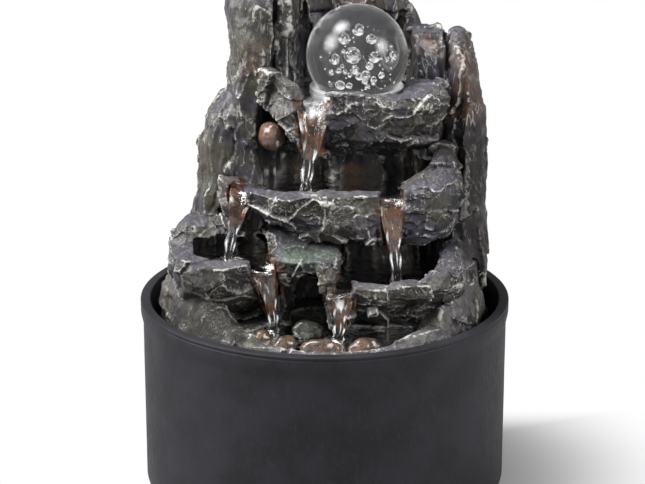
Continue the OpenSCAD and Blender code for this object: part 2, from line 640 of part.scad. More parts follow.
module front_pool() {
    crag([
        [deck_z - pool_drop, [[-46, -58], [-36, -73], [-20, -86], [22, -86], [36, -78], [52, -62], [50, -50], [-30, -42]]],
        [deck_z, [[-50, -60], [-42, -75], [-22, -90.5], [24, -90.5], [41, -81], [57, -63], [54, -50], [-30, -41]]],
        [deck_z + 12, [[-52, -60], [-44, -76], [-23, -92], [25, -92], [42, -82], [58, -63], [55, -50], [-30, -41]]]
    ]);
    // Floor of the cave behind it
    crag([
        [deck_z - pool_drop, [[-20, -60], [4, -60], [4, -22], [-8, -16], [-20, -22]]],
        [deck_z + 12, [[-21, -60], [4, -60], [5, -21], [-8, -15], [-21, -21]]]
    ]);
}

// =============================================================================
// Bowl and feet
// =============================================================================

module bowl()
    color([0.2, 0.2, 0.22])
    difference() {
        rotate_extrude($fn = 120)
            difference() {
                union() {
                    translate([0, under_z])
                        square([wall_r - edge_r, bowl_h - under_z - rim_band]);
                    translate([0, under_z + edge_r])
                        square([wall_r, bowl_h - under_z - edge_r - rim_band]);
                    translate([wall_r - edge_r, under_z + edge_r])
                        circle(r = edge_r, $fn = 48);
                    // Soft swell up to the rim
                    polygon(concat(
                        [for (i = [0 : swell_steps])
                            let (t = i / swell_steps)
                            [wall_r + rim_proud * (1 - cos(180 * t)) / 2, bowl_h - rim_band * (1.5 - t)]],
                        [[rim_r, bowl_h - rim_soft], [rim_r - rim_soft, bowl_h],
                         [inner_r, bowl_h], [inner_r, bowl_h - 2 * rim_band]]));
                }
                // Inside, rounded where the wall meets the floor
                translate([0, floor_z + edge_r])
                    square([inner_r, bowl_h]);
                translate([0, floor_z])
                    square([inner_r - edge_r, bowl_h]);
                translate([inner_r - edge_r, floor_z + edge_r])
                    circle(r = edge_r, $fn = 48);
            }
        // Notch for the lead in the rear rim
        translate([0, inner_r - over, bowl_h - notch_depth + notch_w / 2])
            rotate([-90, 0, 0])
                cylinder(d = notch_w, h = rim_w + 2 * over, $fn = 24);
        translate([-notch_w / 2, inner_r - over, bowl_h - notch_depth + notch_w / 2])
            cube([notch_w, rim_w + 2 * over, notch_depth]);
        // Recesses for the feet
        for (a = [45 : 90 : 315])
            rotate([0, 0, a])
                translate([foot_reach, 0, under_z - over])
                    cylinder(d = foot_d + 2 * glue, h = foot_sunk + over, $fn = 36);
    }

module foot_pads()
    color([0.08, 0.08, 0.08])
    for (a = [45 : 90 : 315])
        rotate([0, 0, a])
            translate([foot_reach, 0, 0])
                rotate_extrude($fn = 36)
                    polygon([[0, 0], [foot_d / 2 - foot_bevel, 0], [foot_d / 2, foot_bevel],
                             [foot_d / 2, foot_h], [0, foot_h]]);

// =============================================================================
// Pump
// =============================================================================

// A plate with round upright edges.
module rounded_box(size, r)
    translate([r, 0, r])
        rotate([-90, 0, 0])
            linear_extrude(size[1])
                translate([0, -size[2] + 2 * r])
                    union() {
                        translate([-r, 0])
                            square([size[0], size[2] - 2 * r]);
                        translate([0, -r])
                            square([size[0] - 2 * r, size[2]]);
                        for (x = [0, size[0] - 2 * r], y = [0, size[2] - 2 * r])
                            translate([x, y])
                                circle(r = r, $fn = 24);
                    }

// Turns what is drawn along +Z to lie along the pump's shaft, from front to back.
module on_shaft(y)
    translate([pump_x, y, rotor_z])
        rotate([-90, 0, 0])
            children();

module pump_housing()
    color([0.1, 0.1, 0.11])
    difference() {
        union() {
            translate([pump_x - pump_w / 2, front_y, pump_z])
                rounded_box([pump_w, pump_d, pump_h], case_round);
            translate([pump_x, pump_y, pump_top - over])
                cylinder(r = spigot_r, h = spigot_h + over, $fn = 36);
            translate([pump_x, pump_y, pump_top - over])
                cylinder(r = collar_r, h = over + collar_h, $fn = 36);
        }
        // Impeller chamber, magnet well and rear bush seat
        on_shaft(front_y - over)
            cylinder(r = cover_r + run, h = cover_t + over, $fn = 48);
        on_shaft(front_y - over)
            cylinder(r = chamber_r, h = cover_t + chamber_d + over, $fn = 48);
        on_shaft(front_y)
            cylinder(r = well_mag_r, h = cover_t + chamber_d + magnet_l + end_play, $fn = 36);
        on_shaft(front_y)
            cylinder(r = bush_r + run, h = cover_t + chamber_d + magnet_l + end_play + bush_l, $fn = 24);
        // Way from the chamber up through the spigot
        translate([pump_x, pump_y, rotor_z])
            translate([0, 0, chamber_r * 0.6])
                cylinder(r = spigot_bore, h = pump_h + spigot_h, $fn = 24);
        translate([pump_x - spigot_bore, front_y + cover_t, rotor_z + chamber_r - case_round])
            cube([2 * spigot_bore, pump_d / 2 - cover_t, case_round + 2]);
        // Dimples that the suction cups' stems press into
        for (x = [-1, 1], y = [-1, 1])
            translate([pump_x + x * cup_reach_x, pump_y + y * cup_reach_y, pump_z - over])
                cylinder(r = stem_r + run, h = stem_deep + over, $fn = 24);
    }

module shaft_bushes()
    color([0.12, 0.12, 0.12])
    for (y = [front_y - bush_l + cover_t - end_play / 2, front_y + cover_t + chamber_d + magnet_l + end_play])
        on_shaft(y)
            difference() {
                cylinder(r = bush_r, h = bush_l - run, $fn = 24);
                translate([0, 0, -over])
                    cylinder(r = shaft_r + run / 2, h = bush_l + 2 * over, $fn = 24);
            }

module impeller_shaft()
    color([0.92, 0.92, 0.9])
    on_shaft(front_y - bush_l + cover_t)
        cylinder(r = shaft_r, h = chamber_d + magnet_l + 2 * bush_l - end_play / 2, $fn = 24);

module rotor_magnet()
    color([0.16, 0.16, 0.17])
    on_shaft(front_y + cover_t + chamber_d)
        difference() {
            cylinder(r = magnet_d / 2, h = magnet_l, $fn = 36);
            translate([0, 0, -over])
                cylinder(r = shaft_r + run, h = magnet_l + 2 * over, $fn = 24);
        }

module impeller()
    color([0.85, 0.85, 0.83])
    on_shaft(front_y + cover_t + end_play)
        difference() {
            union() {
                translate([0, 0, blade_w])
                    cylinder(r = impeller_d / 2, h = chamber_d - blade_w - end_play - run, $fn = 36);
                cylinder(r = hub_wall + shaft_r, h = blade_w + over, $fn = 24);
                for (i = [0 : blade_count - 1])
                    rotate([0, 0, 360 * i / blade_count])
                        translate([shaft_r + hub_wall / 2, -blade_t / 2, 0])
                            cube([impeller_d / 2 - shaft_r - hub_wall, blade_t, blade_w + over / 2]);
            }
            translate([0, 0, -over])
                cylinder(r = shaft_r + run, h = chamber_d + 2 * over, $fn = 24);
        }

module chamber_cover()
    color([0.13, 0.13, 0.14])
    on_shaft(front_y)
        difference() {
            union() {
                difference() {
                    cylinder(r = cover_r, h = cover_t, $fn = 48);
                    translate([0, 0, -over])
                        cylinder(r = eye_r, h = cover_t + 2 * over, $fn = 36);
                }
                for (a = [90, 210, 330])
                    rotate([0, 0, a])
                        translate([bush_r, -rib_t / 2, 0])
                            cube([eye_r - bush_r + over, rib_t, cover_t]);
                translate([0, 0, cover_t - bush_l])
                    cylinder(r = bush_r + rib_t / 2, h = bush_l, $fn = 24);
            }
            translate([0, 0, cover_t - bush_l - over])
                cylinder(r = bush_r + run, h = bush_l + 2 * over, $fn = 24);
        }

module suction_cups()
    color([0.75, 0.75, 0.72])
    for (x = [-1, 1], y = [-1, 1])
        translate([pump_x + x * cup_reach_x, pump_y + y * cup_reach_y, floor_z])
            rotate_extrude($fn = 24)
                polygon([[0, cup_lip], [cup_d / 2 - cup_lip, 0], [cup_d / 2, 0], [cup_d / 2 - cup_lip, cup_lip],
                         [stem_r + 1, cup_h - 2.5], [stem_r + 1, cup_h - 1], [stem_r, cup_h - 1],
                         [stem_r, cup_h - 1 + stem_in], [0, cup_h - 1 + stem_in]]);

module strainer_cover()
    color([0.11, 0.11, 0.12])
    difference() {
        translate([pump_x - pump_w / 2, strainer_y, pump_z])
            rounded_box([pump_w, strainer_d - part_gap, pump_h], case_round);
        translate([pump_x - pump_w / 2 + case_wall, strainer_y + case_wall, pump_z + case_wall])
            cube([pump_w - 2 * case_wall, strainer_d, pump_h - 2 * case_wall]);
        // Hole that the dial turns in
        on_shaft(strainer_y - over)
            cylinder(r = hub_r + part_gap, h = case_wall + 2 * over, $fn = 36);
        // Inlet slots beside the dial, then in the sides
        for (side = [-1, 1], i = [0 : slots_front - 1])
            translate([pump_x + side * (dial_r + slot_w - 0.5) - slot_w / 2, strainer_y - over,
                       pump_z + slot_clear - 1 + i * (pump_h - 2 * slot_clear) / (slots_front - 1)])
                cube([slot_w, case_wall + 2 * over, slot_h]);
        for (side = [-1, 1], i = [0 : slots_side - 1])
            translate([pump_x + side * pump_w / 2 - case_wall - over,
                       strainer_y + slot_clear - 1 + i * side_slot_step, pump_z + slot_clear])
                cube([2 * (case_wall + over), side_slot_w, pump_h - 2 * slot_clear]);
    }

module flow_dial()
    color([0.3, 0.3, 0.32])
    on_shaft(strainer_y - dial_t)
        difference() {
            union() {
                cylinder(r = dial_r, h = dial_t - part_gap, $fn = 48);
                cylinder(r = hub_r, h = dial_t + case_wall + part_gap, $fn = 36);
                translate([0, 0, dial_t + case_wall + part_gap])
                    cylinder(r = hub_r + latch_w, h = latch_t, $fn = 36);
                // Finger bar
                translate([-dial_r * 0.8, -bar_w / 2, -bar_h])
                    cube([dial_r * 1.6, bar_w, bar_h + over / 2]);
            }
            for (a = [45, 225])
                rotate([0, 0, a])
                    translate([dial_r * 0.3, 0, -over])
                        cylinder(r = port_r, h = dial_t + case_wall + latch_t + 3 * over, $fn = 24);
        }

// =============================================================================
// Rock sculpture
// =============================================================================

// Hollow ring that carries the deck on the bowl's floor.
module rock_skirt()
    color(slate)
    difference() {
        translate([0, 0, foot_z])
            rotate_extrude($fn = 96)
                polygon([[skirt_r - shell_t, 0], [skirt_r - shell_t, bed_z - glue - foot_z],
                         [skirt_r + skirt_taper, bed_z - glue - foot_z], [skirt_r, 0]]);
        // Water inlets
        for (a = [0 : 90 : 270])
            rotate([0, 0, a])
                translate([skirt_r - shell_t - over, -inlet_w / 2, foot_z - over])
                    cube([shell_t + skirt_taper + 2 * over, inlet_w, inlet_h + over]);
    }

module rock_deck()
    color(slate)
    difference() {
        deck_form();
        front_pool();
        riser_bore();
    }

module rock_tower()
    color(slate)
    difference() {
        tower_form();
        deck_form(glue);
        riser_bore();
        upper_pool();
        left_pool();
        grotto();
    }

module upper_basin()
    color(slate)
    difference() {
        upper_form();
        tower_form(glue);
        upper_pool();
        riser_bore();
    }

module middle_basin()
    color(slate)
    difference() {
        middle_form();
        tower_form(glue);
        middle_pool();
    }

module left_basin()
    color(slate)
    difference() {
        left_form();
        deck_form(glue);
        tower_form(glue);
        left_pool();
        middle_form(glue);
    }

module right_basin()
    color(slate)
    difference() {
        right_form();
        deck_form(glue);
        tower_form(glue);
        right_pool();
    }

module centre_rock()
    color([0.3, 0.36, 0.3])
    difference() {
        centre_form();
        deck_form(glue);
        tower_form(glue);
        middle_form(glue);
        left_form(glue);
        right_form(glue);
    }

// Each stone is [x, y, long radius, short radius, turn], and they stand on the pool's bed.
stones = [[-35.5, -66.5, 5.5, 4, 52], [-22.5, -76.5, 7.5, 4.2, 33], [-2, -82, 11.5, 4.2, -3],
          [23, -80, 10.5, 4.2, 16], [-10, -51, 8, 3.6, 6]];
stone_h = pool_drop + 4;
// Radius of the pebble wedged under the horn
pebble_r = 8.5;

module pebbles()
    color(resin_brown) {
        for (s = stones)
            crag([
                [deck_z - pool_drop + glue, oval(s[0], s[1], s[2] * 0.8, s[3] * 0.75, s[4], 12)],
                [deck_z - pool_drop + stone_h * 0.4, oval(s[0], s[1], s[2], s[3], s[4], 12)],
                [deck_z - pool_drop + stone_h * 0.72, oval(s[0], s[1], s[2] * 0.88, s[3] * 0.8, s[4], 12)],
                [deck_z - pool_drop + stone_h, oval(s[0], s[1], s[2] * 0.5, s[3] * 0.36, s[4], 12)]
            ]);
        difference() {
            crag([
                for (a = [-75 : 25 : 75])
                    [upper_z - 27.5 + pebble_r * sin(a),
                     oval(-31, -2.5, pebble_r * 0.92 * cos(a), pebble_r * 0.85 * cos(a), 20, 12)]
            ]);
            tower_form(glue);
            upper_form(glue);
        }
    }

// =============================================================================
// Ball, ring, riser tube and lamp
// =============================================================================

module ball_ring()
    color([0.8, 0.85, 0.9, 0.5])
    translate([axis_x, axis_y, ring_z])
        rotate_extrude($fn = 72)
            polygon([[ring_in, glue], [ring_r, glue], [ring_r, ring_h - 0.8], [ring_r - 0.8, ring_h],
                     [ring_in, ring_h]]);

module riser_tube()
    color([0.85, 0.87, 0.88, 0.6])
    translate([axis_x, axis_y, tube_z])
        difference() {
            cylinder(r = tube_r, h = tube_top - tube_z, $fn = 36);
            translate([0, 0, -over])
                cylinder(r = tube_in, h = tube_top - tube_z + 2 * over, $fn = 36);
        }

module lamp_case()
    color([0.1, 0.1, 0.1])
    translate([axis_x, axis_y, well_z + glue])
        rotate_extrude($fn = 48)
            polygon([[bore_r, 0], [lamp_r, 0], [lamp_r, lamp_h - glue], [lamp_r - 1.5, lamp_h - glue],
                     [lamp_r - 1.5, 1.5], [bore_r + 1.5, 1.5], [bore_r + 1.5, lamp_h - glue],
                     [bore_r, lamp_h - glue]]);

module lamp_board()
    color([0.1, 0.35, 0.2])
    translate([axis_x, axis_y, well_z + 1.5 + 2 * glue])
        rotate_extrude($fn = 48)
            translate([bore_r + 1.5 + glue, 0])
                square([lamp_r - bore_r - 3 - 2 * glue, 1]);

module lamp_leds()
    color([0.95, 0.95, 0.85])
    for (i = [0 : led_count - 1])
        translate([axis_x, axis_y, 0])
            rotate([0, 0, 360 * i / led_count])
                translate([(lamp_r + bore_r) / 2, 0, well_z + 2.5 + 2 * glue])
                    translate([-1.2, -1.2, 0])
                        cube([2.4, 2.4, 1]);

module lamp_lens()
    color([0.9, 0.93, 0.95, 0.5])
    translate([axis_x, axis_y, well_z + lamp_h])
        rotate_extrude($fn = 48)
            polygon([[bore_r, 0], [lamp_r, 0], [lamp_r - 0.6, lens_t], [bore_r, lens_t]]);

module crystal_ball()
    color([0.9, 0.93, 0.95, 0.4])
    translate([axis_x, axis_y, ball_z])
        sphere(r = ball_r, $fn = 64);

bowl();
foot_pads();
pump_housing();
shaft_bushes();
impeller_shaft();
rotor_magnet();
impeller();
chamber_cover();
suction_cups();
strainer_cover();
flow_dial();
rock_skirt();
rock_deck();
rock_tower();
upper_basin();
middle_basin();
left_basin();
right_basin();
centre_rock();
pebbles();
ball_ring();
riser_tube();
lamp_case();
lamp_board();
lamp_leds();
lamp_lens();
crystal_ball();
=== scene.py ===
"""The looks of a tabletop water fountain: a cast and painted rock sculpture with pools,
chutes and a clear ball, standing in a matt charcoal bowl.  All lengths are metres."""

import math

import bmesh
import bpy
import numpy as np
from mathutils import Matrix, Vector
from mathutils.bvhtree import BVHTree


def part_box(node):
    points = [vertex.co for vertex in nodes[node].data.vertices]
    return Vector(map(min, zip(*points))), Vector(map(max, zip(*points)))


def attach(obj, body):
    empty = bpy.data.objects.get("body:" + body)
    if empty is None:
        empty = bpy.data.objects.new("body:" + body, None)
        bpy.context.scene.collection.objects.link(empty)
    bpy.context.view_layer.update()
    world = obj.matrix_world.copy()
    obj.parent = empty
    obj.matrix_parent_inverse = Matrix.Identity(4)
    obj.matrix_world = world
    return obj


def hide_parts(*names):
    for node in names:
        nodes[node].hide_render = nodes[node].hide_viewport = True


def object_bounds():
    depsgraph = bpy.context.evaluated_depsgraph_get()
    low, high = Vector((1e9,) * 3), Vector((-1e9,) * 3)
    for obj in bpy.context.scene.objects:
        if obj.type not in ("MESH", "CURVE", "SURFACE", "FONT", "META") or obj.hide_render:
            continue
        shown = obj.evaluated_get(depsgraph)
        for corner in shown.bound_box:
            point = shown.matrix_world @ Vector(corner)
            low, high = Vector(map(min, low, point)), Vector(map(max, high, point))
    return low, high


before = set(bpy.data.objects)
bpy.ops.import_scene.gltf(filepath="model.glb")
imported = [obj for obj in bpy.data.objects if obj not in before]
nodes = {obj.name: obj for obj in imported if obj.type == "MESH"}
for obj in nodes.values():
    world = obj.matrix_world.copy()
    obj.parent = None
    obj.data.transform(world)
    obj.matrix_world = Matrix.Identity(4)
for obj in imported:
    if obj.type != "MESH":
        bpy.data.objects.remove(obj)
cad_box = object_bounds()


# --- Camera, floor and light ------------------------------------------------------------
# A long lens looks down on the fountain from the front.  The floor is a pale studio sheet.
# One soft lamp hangs overhead, to the left, and two stand at the sides, in a dim white room.

MM = 0.001


class Value:
    """One output in a tree of nodes.  Its operators add Math nodes."""

    def __init__(self, finish, socket):
        self.finish, self.socket = finish, socket

    def math(self, operation, *terms):
        """A Math node on the terms, or on this value alone."""
        sockets = dict(enumerate(terms or (self,)))
        return self.finish.node("ShaderNodeMath", {"operation": operation}, sockets)

    def __add__(self, other):
        return self.math("ADD", self, other)

    def __radd__(self, other):
        return self.math("ADD", other, self)

    def __sub__(self, other):
        return self.math("SUBTRACT", self, other)

    def __rsub__(self, other):
        return self.math("SUBTRACT", other, self)

    def __mul__(self, other):
        return self.math("MULTIPLY", self, other)

    def __rmul__(self, other):
        return self.math("MULTIPLY", other, self)

    def most(self, other):
        """The larger of this value and the other."""
        return self.math("MAXIMUM", self, other)


class Finish:
    """A material in the making, or a lamp's or a room's light.  node() adds any node, and
    end() or surface() joins the last shader to the output."""

    def __init__(self, name, owner=None):
        self.owner = bpy.data.materials.new(name) if owner is None else owner
        self.owner.use_nodes = True
        self.tree = self.owner.node_tree
        self.tree.nodes.clear()

    def node(self, kind, settings=None, sockets=None, out=0):
        """Adds a node, makes its settings first, then its sockets' values or links."""
        new = self.tree.nodes.new(kind)
        for key, value in (settings or {}).items():
            setattr(new, key, value)
        for key, value in (sockets or {}).items():
            socket = new.inputs[key]
            if isinstance(value, Value):
                self.tree.links.new(value.socket, socket)
            elif socket.type == "RGBA" and len(value) == 3:
                socket.default_value = (*value, 1.0)
            else:
                socket.default_value = value
        return Value(self, new.outputs[out]) if new.outputs else None

    def vector(self, operation, *terms, out=0):
        """A Vector Math node on the terms."""
        return self.node("ShaderNodeVectorMath", {"operation": operation}, dict(enumerate(terms)), out)

    def place(self, scale=(1.0, 1.0, 1.0)):
        """Object coordinates in millimetres, times scale."""
        where = self.node("ShaderNodeTexCoord", out="Object")
        scale = [part / MM for part in scale]
        return self.node("ShaderNodeMapping", {}, {"Vector": where, "Scale": scale})

    def noise(self, size, detail=2.0, rough=0.5, warp=0.0, where=None, out="Fac"):
        """Noise whose blotches are about size millimetres across."""
        sockets = {"Vector": where or self.place(), "Scale": 1.0 / size, "Detail": detail,
                   "Roughness": rough, "Distortion": warp}
        return self.node("ShaderNodeTexNoise", {}, sockets, out)

    def paint(self, name):
        """A number painted on the mesh's points."""
        return self.node("ShaderNodeAttribute", {"attribute_name": name}, {}, "Fac")

    def range(self, value, low, high, start=0.0, end=1.0):
        """Value from low to high carried smoothly to start to end."""
        sockets = {0: value, 1: low, 2: high, 3: start, 4: end}
        return self.node("ShaderNodeMapRange", {"interpolation_type": "SMOOTHSTEP"}, sockets)

    def mix(self, share, first, second):
        """Two colours mixed by a share."""
        settings = {"data_type": "RGBA", "clamp_factor": True}
        return self.node("ShaderNodeMix", settings, {0: share, 6: first, 7: second}, 2)

    def tones(self, value, low, high, dark, pale):
        """A colour that goes from dark to pale as value goes from low to high."""
        return self.mix(self.range(value, low, high), dark, pale)

    def bump(self, height, depth):
        """Raises the surface by height times depth millimetres."""
        sockets = {"Height": height, "Distance": depth * MM, "Strength": 1.0}
        return self.node("ShaderNodeBump", {}, sockets)

    def end(self, shader, kind="Material"):
        """Joins a shader to the output of a material, or of a Light or World."""
        self.node("ShaderNodeOutput" + kind, {}, {"Surface": shader})
        return self.owner

    def principled(self, **sockets):
        """A Principled shader, its sockets' names written with _ for each space."""
        named = {key.replace("_", " "): value for key, value in sockets.items()}
        return self.node("ShaderNodeBsdfPrincipled", {}, named)

    def either(self, share, first, second):
        """Two shaders mixed by a share."""
        return self.node("ShaderNodeMixShader", {}, {0: share, 1: first, 2: second})

    def surface(self, **sockets):
        """Ends the material in one Principled shader."""
        return self.end(self.principled(**sockets))


def set_up(name, data):
    """A new object of this data, in the scene."""
    thing = bpy.data.objects.new(name, data)
    bpy.context.collection.objects.link(thing)
    return thing


EYE_RAISED = math.radians(17.8)
EYE_AWAY = 1.3
EYE_AIM = np.array([-0.00128, 0.0, 0.152])

camera = set_up("camera", bpy.data.cameras.new("camera"))
camera.data.sensor_width = 36.0
camera.data.lens = 122.0
camera.data.clip_start = 0.05
TO_EYE = np.array([0.0, -math.cos(EYE_RAISED), math.sin(EYE_RAISED)])
camera.location = EYE_AIM + EYE_AWAY * TO_EYE
camera.rotation_euler = (math.pi / 2 - EYE_RAISED, 0.0, 0.0)
bpy.context.scene.camera = camera


def seen_by(finish, *kinds):
    """1 on rays of these kinds and 0 on all others."""
    rays = [finish.node("ShaderNodeLightPath", out="Is " + kind + " Ray") for kind in kinds]
    seen = rays[0]
    for ray in rays[1:]:
        seen = seen.most(ray)
    return seen


def studio_floor():
    """A flat square sheet, twelve metres on a side.  It glows, as a backdrop does under its own lamps, except
    in front and to the right of the fountain, where the shadow lies.  There it is a grey sheet that takes the
    lamps' real shadow, and the glow fading in round it shapes that shadow as painted shade."""
    half = 6.0
    mesh = bpy.data.meshes.new("floor")
    corners = [(-half, -half, 0), (half, -half, 0), (half, half, 0), (-half, half, 0)]
    mesh.from_pydata(corners, [], [(0, 1, 2, 3)])
    set_up("floor", mesh)
    f = Finish("studio sheet")
    lit = f.node("ShaderNodeBsdfDiffuse", {}, {"Color": (0.50, 0.50, 0.50)})
    dull = f.node("ShaderNodeBsdfDiffuse", {}, {"Color": (0.30, 0.30, 0.30)})
    glow = f.node("ShaderNodeEmission", {}, {"Color": (1.0, 1.0, 1.0), "Strength": 1.0})
    x, y = [f.node("ShaderNodeSeparateXYZ", {}, {"Vector": f.place()}, axis) for axis in "XY"]
    # Painted shade: the glow is held back where the lamps' shadow falls, and fades in round it to shape that
    # shadow.
    behind = f.range(y, 58.0, 112.0)
    left = f.range(x, 80.0, 30.0)
    far = f.range(f.vector("LENGTH", f.place(), out="Value"), 100.0, 240.0)
    shown = f.either(far.most(behind).most(left), lit, glow)
    directly = seen_by(f, "Camera", "Glossy", "Transmission")
    mesh.materials.append(f.end(f.either(directly, dull, shown)))


def soft_light(name, spot, aim, size, power):
    """A round soft light at spot that faces aim, brightest in its middle."""
    data = bpy.data.lights.new(name, "AREA")
    data.shape = "DISK"
    data.size, data.energy = size, power
    f = Finish(name, data)
    across = f.node("ShaderNodeNewGeometry", out="Parametric")
    away = f.vector("DISTANCE", across, (0.5, 0.5, 0.0), out="Value")
    f.end(f.node("ShaderNodeEmission", {}, {"Strength": f.range(away, 0.0, 0.5, 2.6, 0.0)}), "Light")
    light = set_up(name, data)
    gaze = np.array(aim) - np.array(spot)
    lean = math.acos(-gaze[2] / np.linalg.norm(gaze))
    light.location = spot
    light.rotation_euler = (lean, 0.0, math.atan2(gaze[0], -gaze[1]) + math.pi)


def white_room():
    """The world: white all round, dim on the fountain and brighter in its reflections."""
    world = bpy.data.worlds.new("room")
    bpy.context.scene.world = world
    f = Finish("room", world)
    strength = f.range(seen_by(f, "Glossy", "Transmission"), 0.0, 1.0, 0.10, 0.32)
    f.end(f.node("ShaderNodeBackground", {}, {"Color": (1.0, 1.0, 1.0), "Strength": strength}), "World")


studio_floor()
soft_light("key light", (-0.70, -0.05, 1.50), (0.0, 0.0, 0.1), 1.10, 34.0)
soft_light("left light", (-1.13, -0.36, 0.90), (0.0, 0.0, 0.2), 1.25, 32.0)
soft_light("right light", (1.15, -0.55, 0.80), (0.0, 0.0, 0.2), 1.10, 22.0)
white_room()
bpy.context.scene.view_settings.view_transform = "Standard"


# --- Bowl -------------------------------------------------------------------------------
# A thick-walled bowl turned from charcoal composite, matt outside, with a soft band under
# its flat rim and a notch at the back for the pump's lead.  The outside is finely grained.

def smooth_step(x):
    """3x^2 - 2x^3 between 0 and 1."""
    x = np.clip(x, 0.0, 1.0)
    return x * x * (3.0 - 2.0 * x)


def lattice_values(cell, seed):
    """Random numbers from 0 to 1 for whole-number cells: their bits stirred by multiplying."""
    all_bits = 0xFFFFFFFF
    bits = seed * 2654435761
    for axis, factor in enumerate((73856093, 19349663, 83492791)):
        bits = bits ^ (cell[..., axis] * factor)
    bits = bits.astype(np.uint32)
    for shift, factor in ((16, 2146121005), (15, 2221713035), (16, 1)):
        stirred = (bits ^ (bits >> np.uint32(shift))).astype(np.uint64) * factor
        bits = (stirred & all_bits).astype(np.uint32)
    return bits / float(all_bits)


def lattice_noise(points, size, seed):
    """Smooth numbers from -1 to 1: the values at a lattice cube's eight corners, size apart,
    blended along x, y and z by 6t^5 - 15t^4 + 10t^3."""
    place = points / size
    base = np.floor(place).astype(np.int64)
    t = place - base
    t = t * t * t * (t * (t * 6.0 - 15.0) + 10.0)
    total = np.zeros(len(points))
    for corner in np.ndindex(2, 2, 2):
        share = np.prod(np.where(corner, t, 1.0 - t), axis=1)
        total += share * lattice_values(base + np.array(corner), seed)
    return 2.0 * total - 1.0


def rough_noise(points, size, seed, octaves=3, fall=0.5):
    """A sum of lattice noises, each half the size and fall times the height of the last."""
    total = sum(fall ** k * lattice_noise(points, np.asarray(size) * 0.5 ** k, seed + 17 * k)
                for k in range(octaves))
    return total / sum(fall ** k for k in range(octaves))


def drawn_through(knots, count):
    """A smooth line of count rows through rows of knots: between two rows the cubic
    p1 + t/2 (p2 - p0) + t^2 (p0 - 5/2 p1 + 2 p2 - p3/2) + t^3/2 (3 p1 - p0 - 3 p2 + p3)."""
    rows = np.asarray(knots, float)
    rows = np.concatenate([2 * rows[:1] - rows[1:2], rows, 2 * rows[-1:] - rows[-2:-1]])
    at = np.linspace(0.0, len(rows) - 3 - 1e-6, count)
    i = at.astype(int)
    t = (at - i)[:, None]
    p0, p1, p2, p3 = rows[i], rows[i + 1], rows[i + 2], rows[i + 3]
    return (p1 + 0.5 * t * (p2 - p0) + t ** 2 * (p0 - 2.5 * p1 + 2.0 * p2 - 0.5 * p3)
            + 0.5 * t ** 3 * (3.0 * p1 - p0 - 3.0 * p2 + p3))


def merge_points(mesh, within):
    """Joins the points of a mesh that lie this close together, which closes seams and poles."""
    joined = bmesh.new()
    joined.from_mesh(mesh)
    bmesh.ops.remove_doubles(joined, verts=joined.verts, dist=within)
    joined.to_mesh(mesh)
    joined.free()


def add_piece(name, points, faces, finish, body, painted=None):
    """Makes a mesh object from arrays of points and faces and fixes it to its body.
    Painted holds named numbers, one for each point."""
    mesh = bpy.data.meshes.new(name)
    mesh.vertices.add(len(points))
    mesh.vertices.foreach_set("co", np.ascontiguousarray(points, np.float32).ravel())
    faces = np.asarray(faces, np.int32)
    mesh.loops.add(faces.size)
    mesh.loops.foreach_set("vertex_index", faces.ravel())
    mesh.polygons.add(len(faces))
    mesh.polygons.foreach_set("loop_start", np.arange(len(faces), dtype=np.int32) * faces.shape[1])
    mesh.polygons.foreach_set("use_smooth", np.ones(len(faces), bool))
    mesh.update(calc_edges=True)
    for key, values in (painted or {}).items():
        layer = mesh.attributes.new(key, "FLOAT", "POINT")
        layer.data.foreach_set("value", values.astype(np.float32))
    merge_points(mesh, 0.0005 * MM)
    piece = set_up(name, mesh)
    mesh.materials.append(finish)
    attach(piece, body)
    return piece


def grid_faces(rows, columns, close_rows=False, close_columns=False):
    """Quads between neighbouring points of a rows by columns grid, numbered row by row."""
    row, column = np.meshgrid(np.arange(rows if close_rows else rows - 1),
                              np.arange(columns if close_columns else columns - 1), indexing="ij")
    here, ahead = row * columns, (row + 1) % rows * columns
    beside = (column + 1) % columns
    quads = [here + column, here + beside, ahead + beside, ahead + column]
    return np.stack(quads, axis=-1).reshape(-1, 4)


BOWL_LOW, BOWL_HIGH = (np.array(corner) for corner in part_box("bowl"))
RIM_R = BOWL_HIGH[0]
RIM_TOP = BOWL_HIGH[2]
BOWL_UNDER = BOWL_LOW[2]
RIM_WIDE = 6.0 * MM
WALL_IN = 1.4 * MM
BAND_TALL = 10.0 * MM
BOWL_FLOOR = BOWL_UNDER + 5.0 * MM
EDGE_R = 8.0 * MM
NOTCH_HALF = 4.5 * MM
NOTCH_DEEP = 12.0 * MM
GRAIN_TALL = 0.06 * MM
GRAIN_SUNK = 0.05 * MM


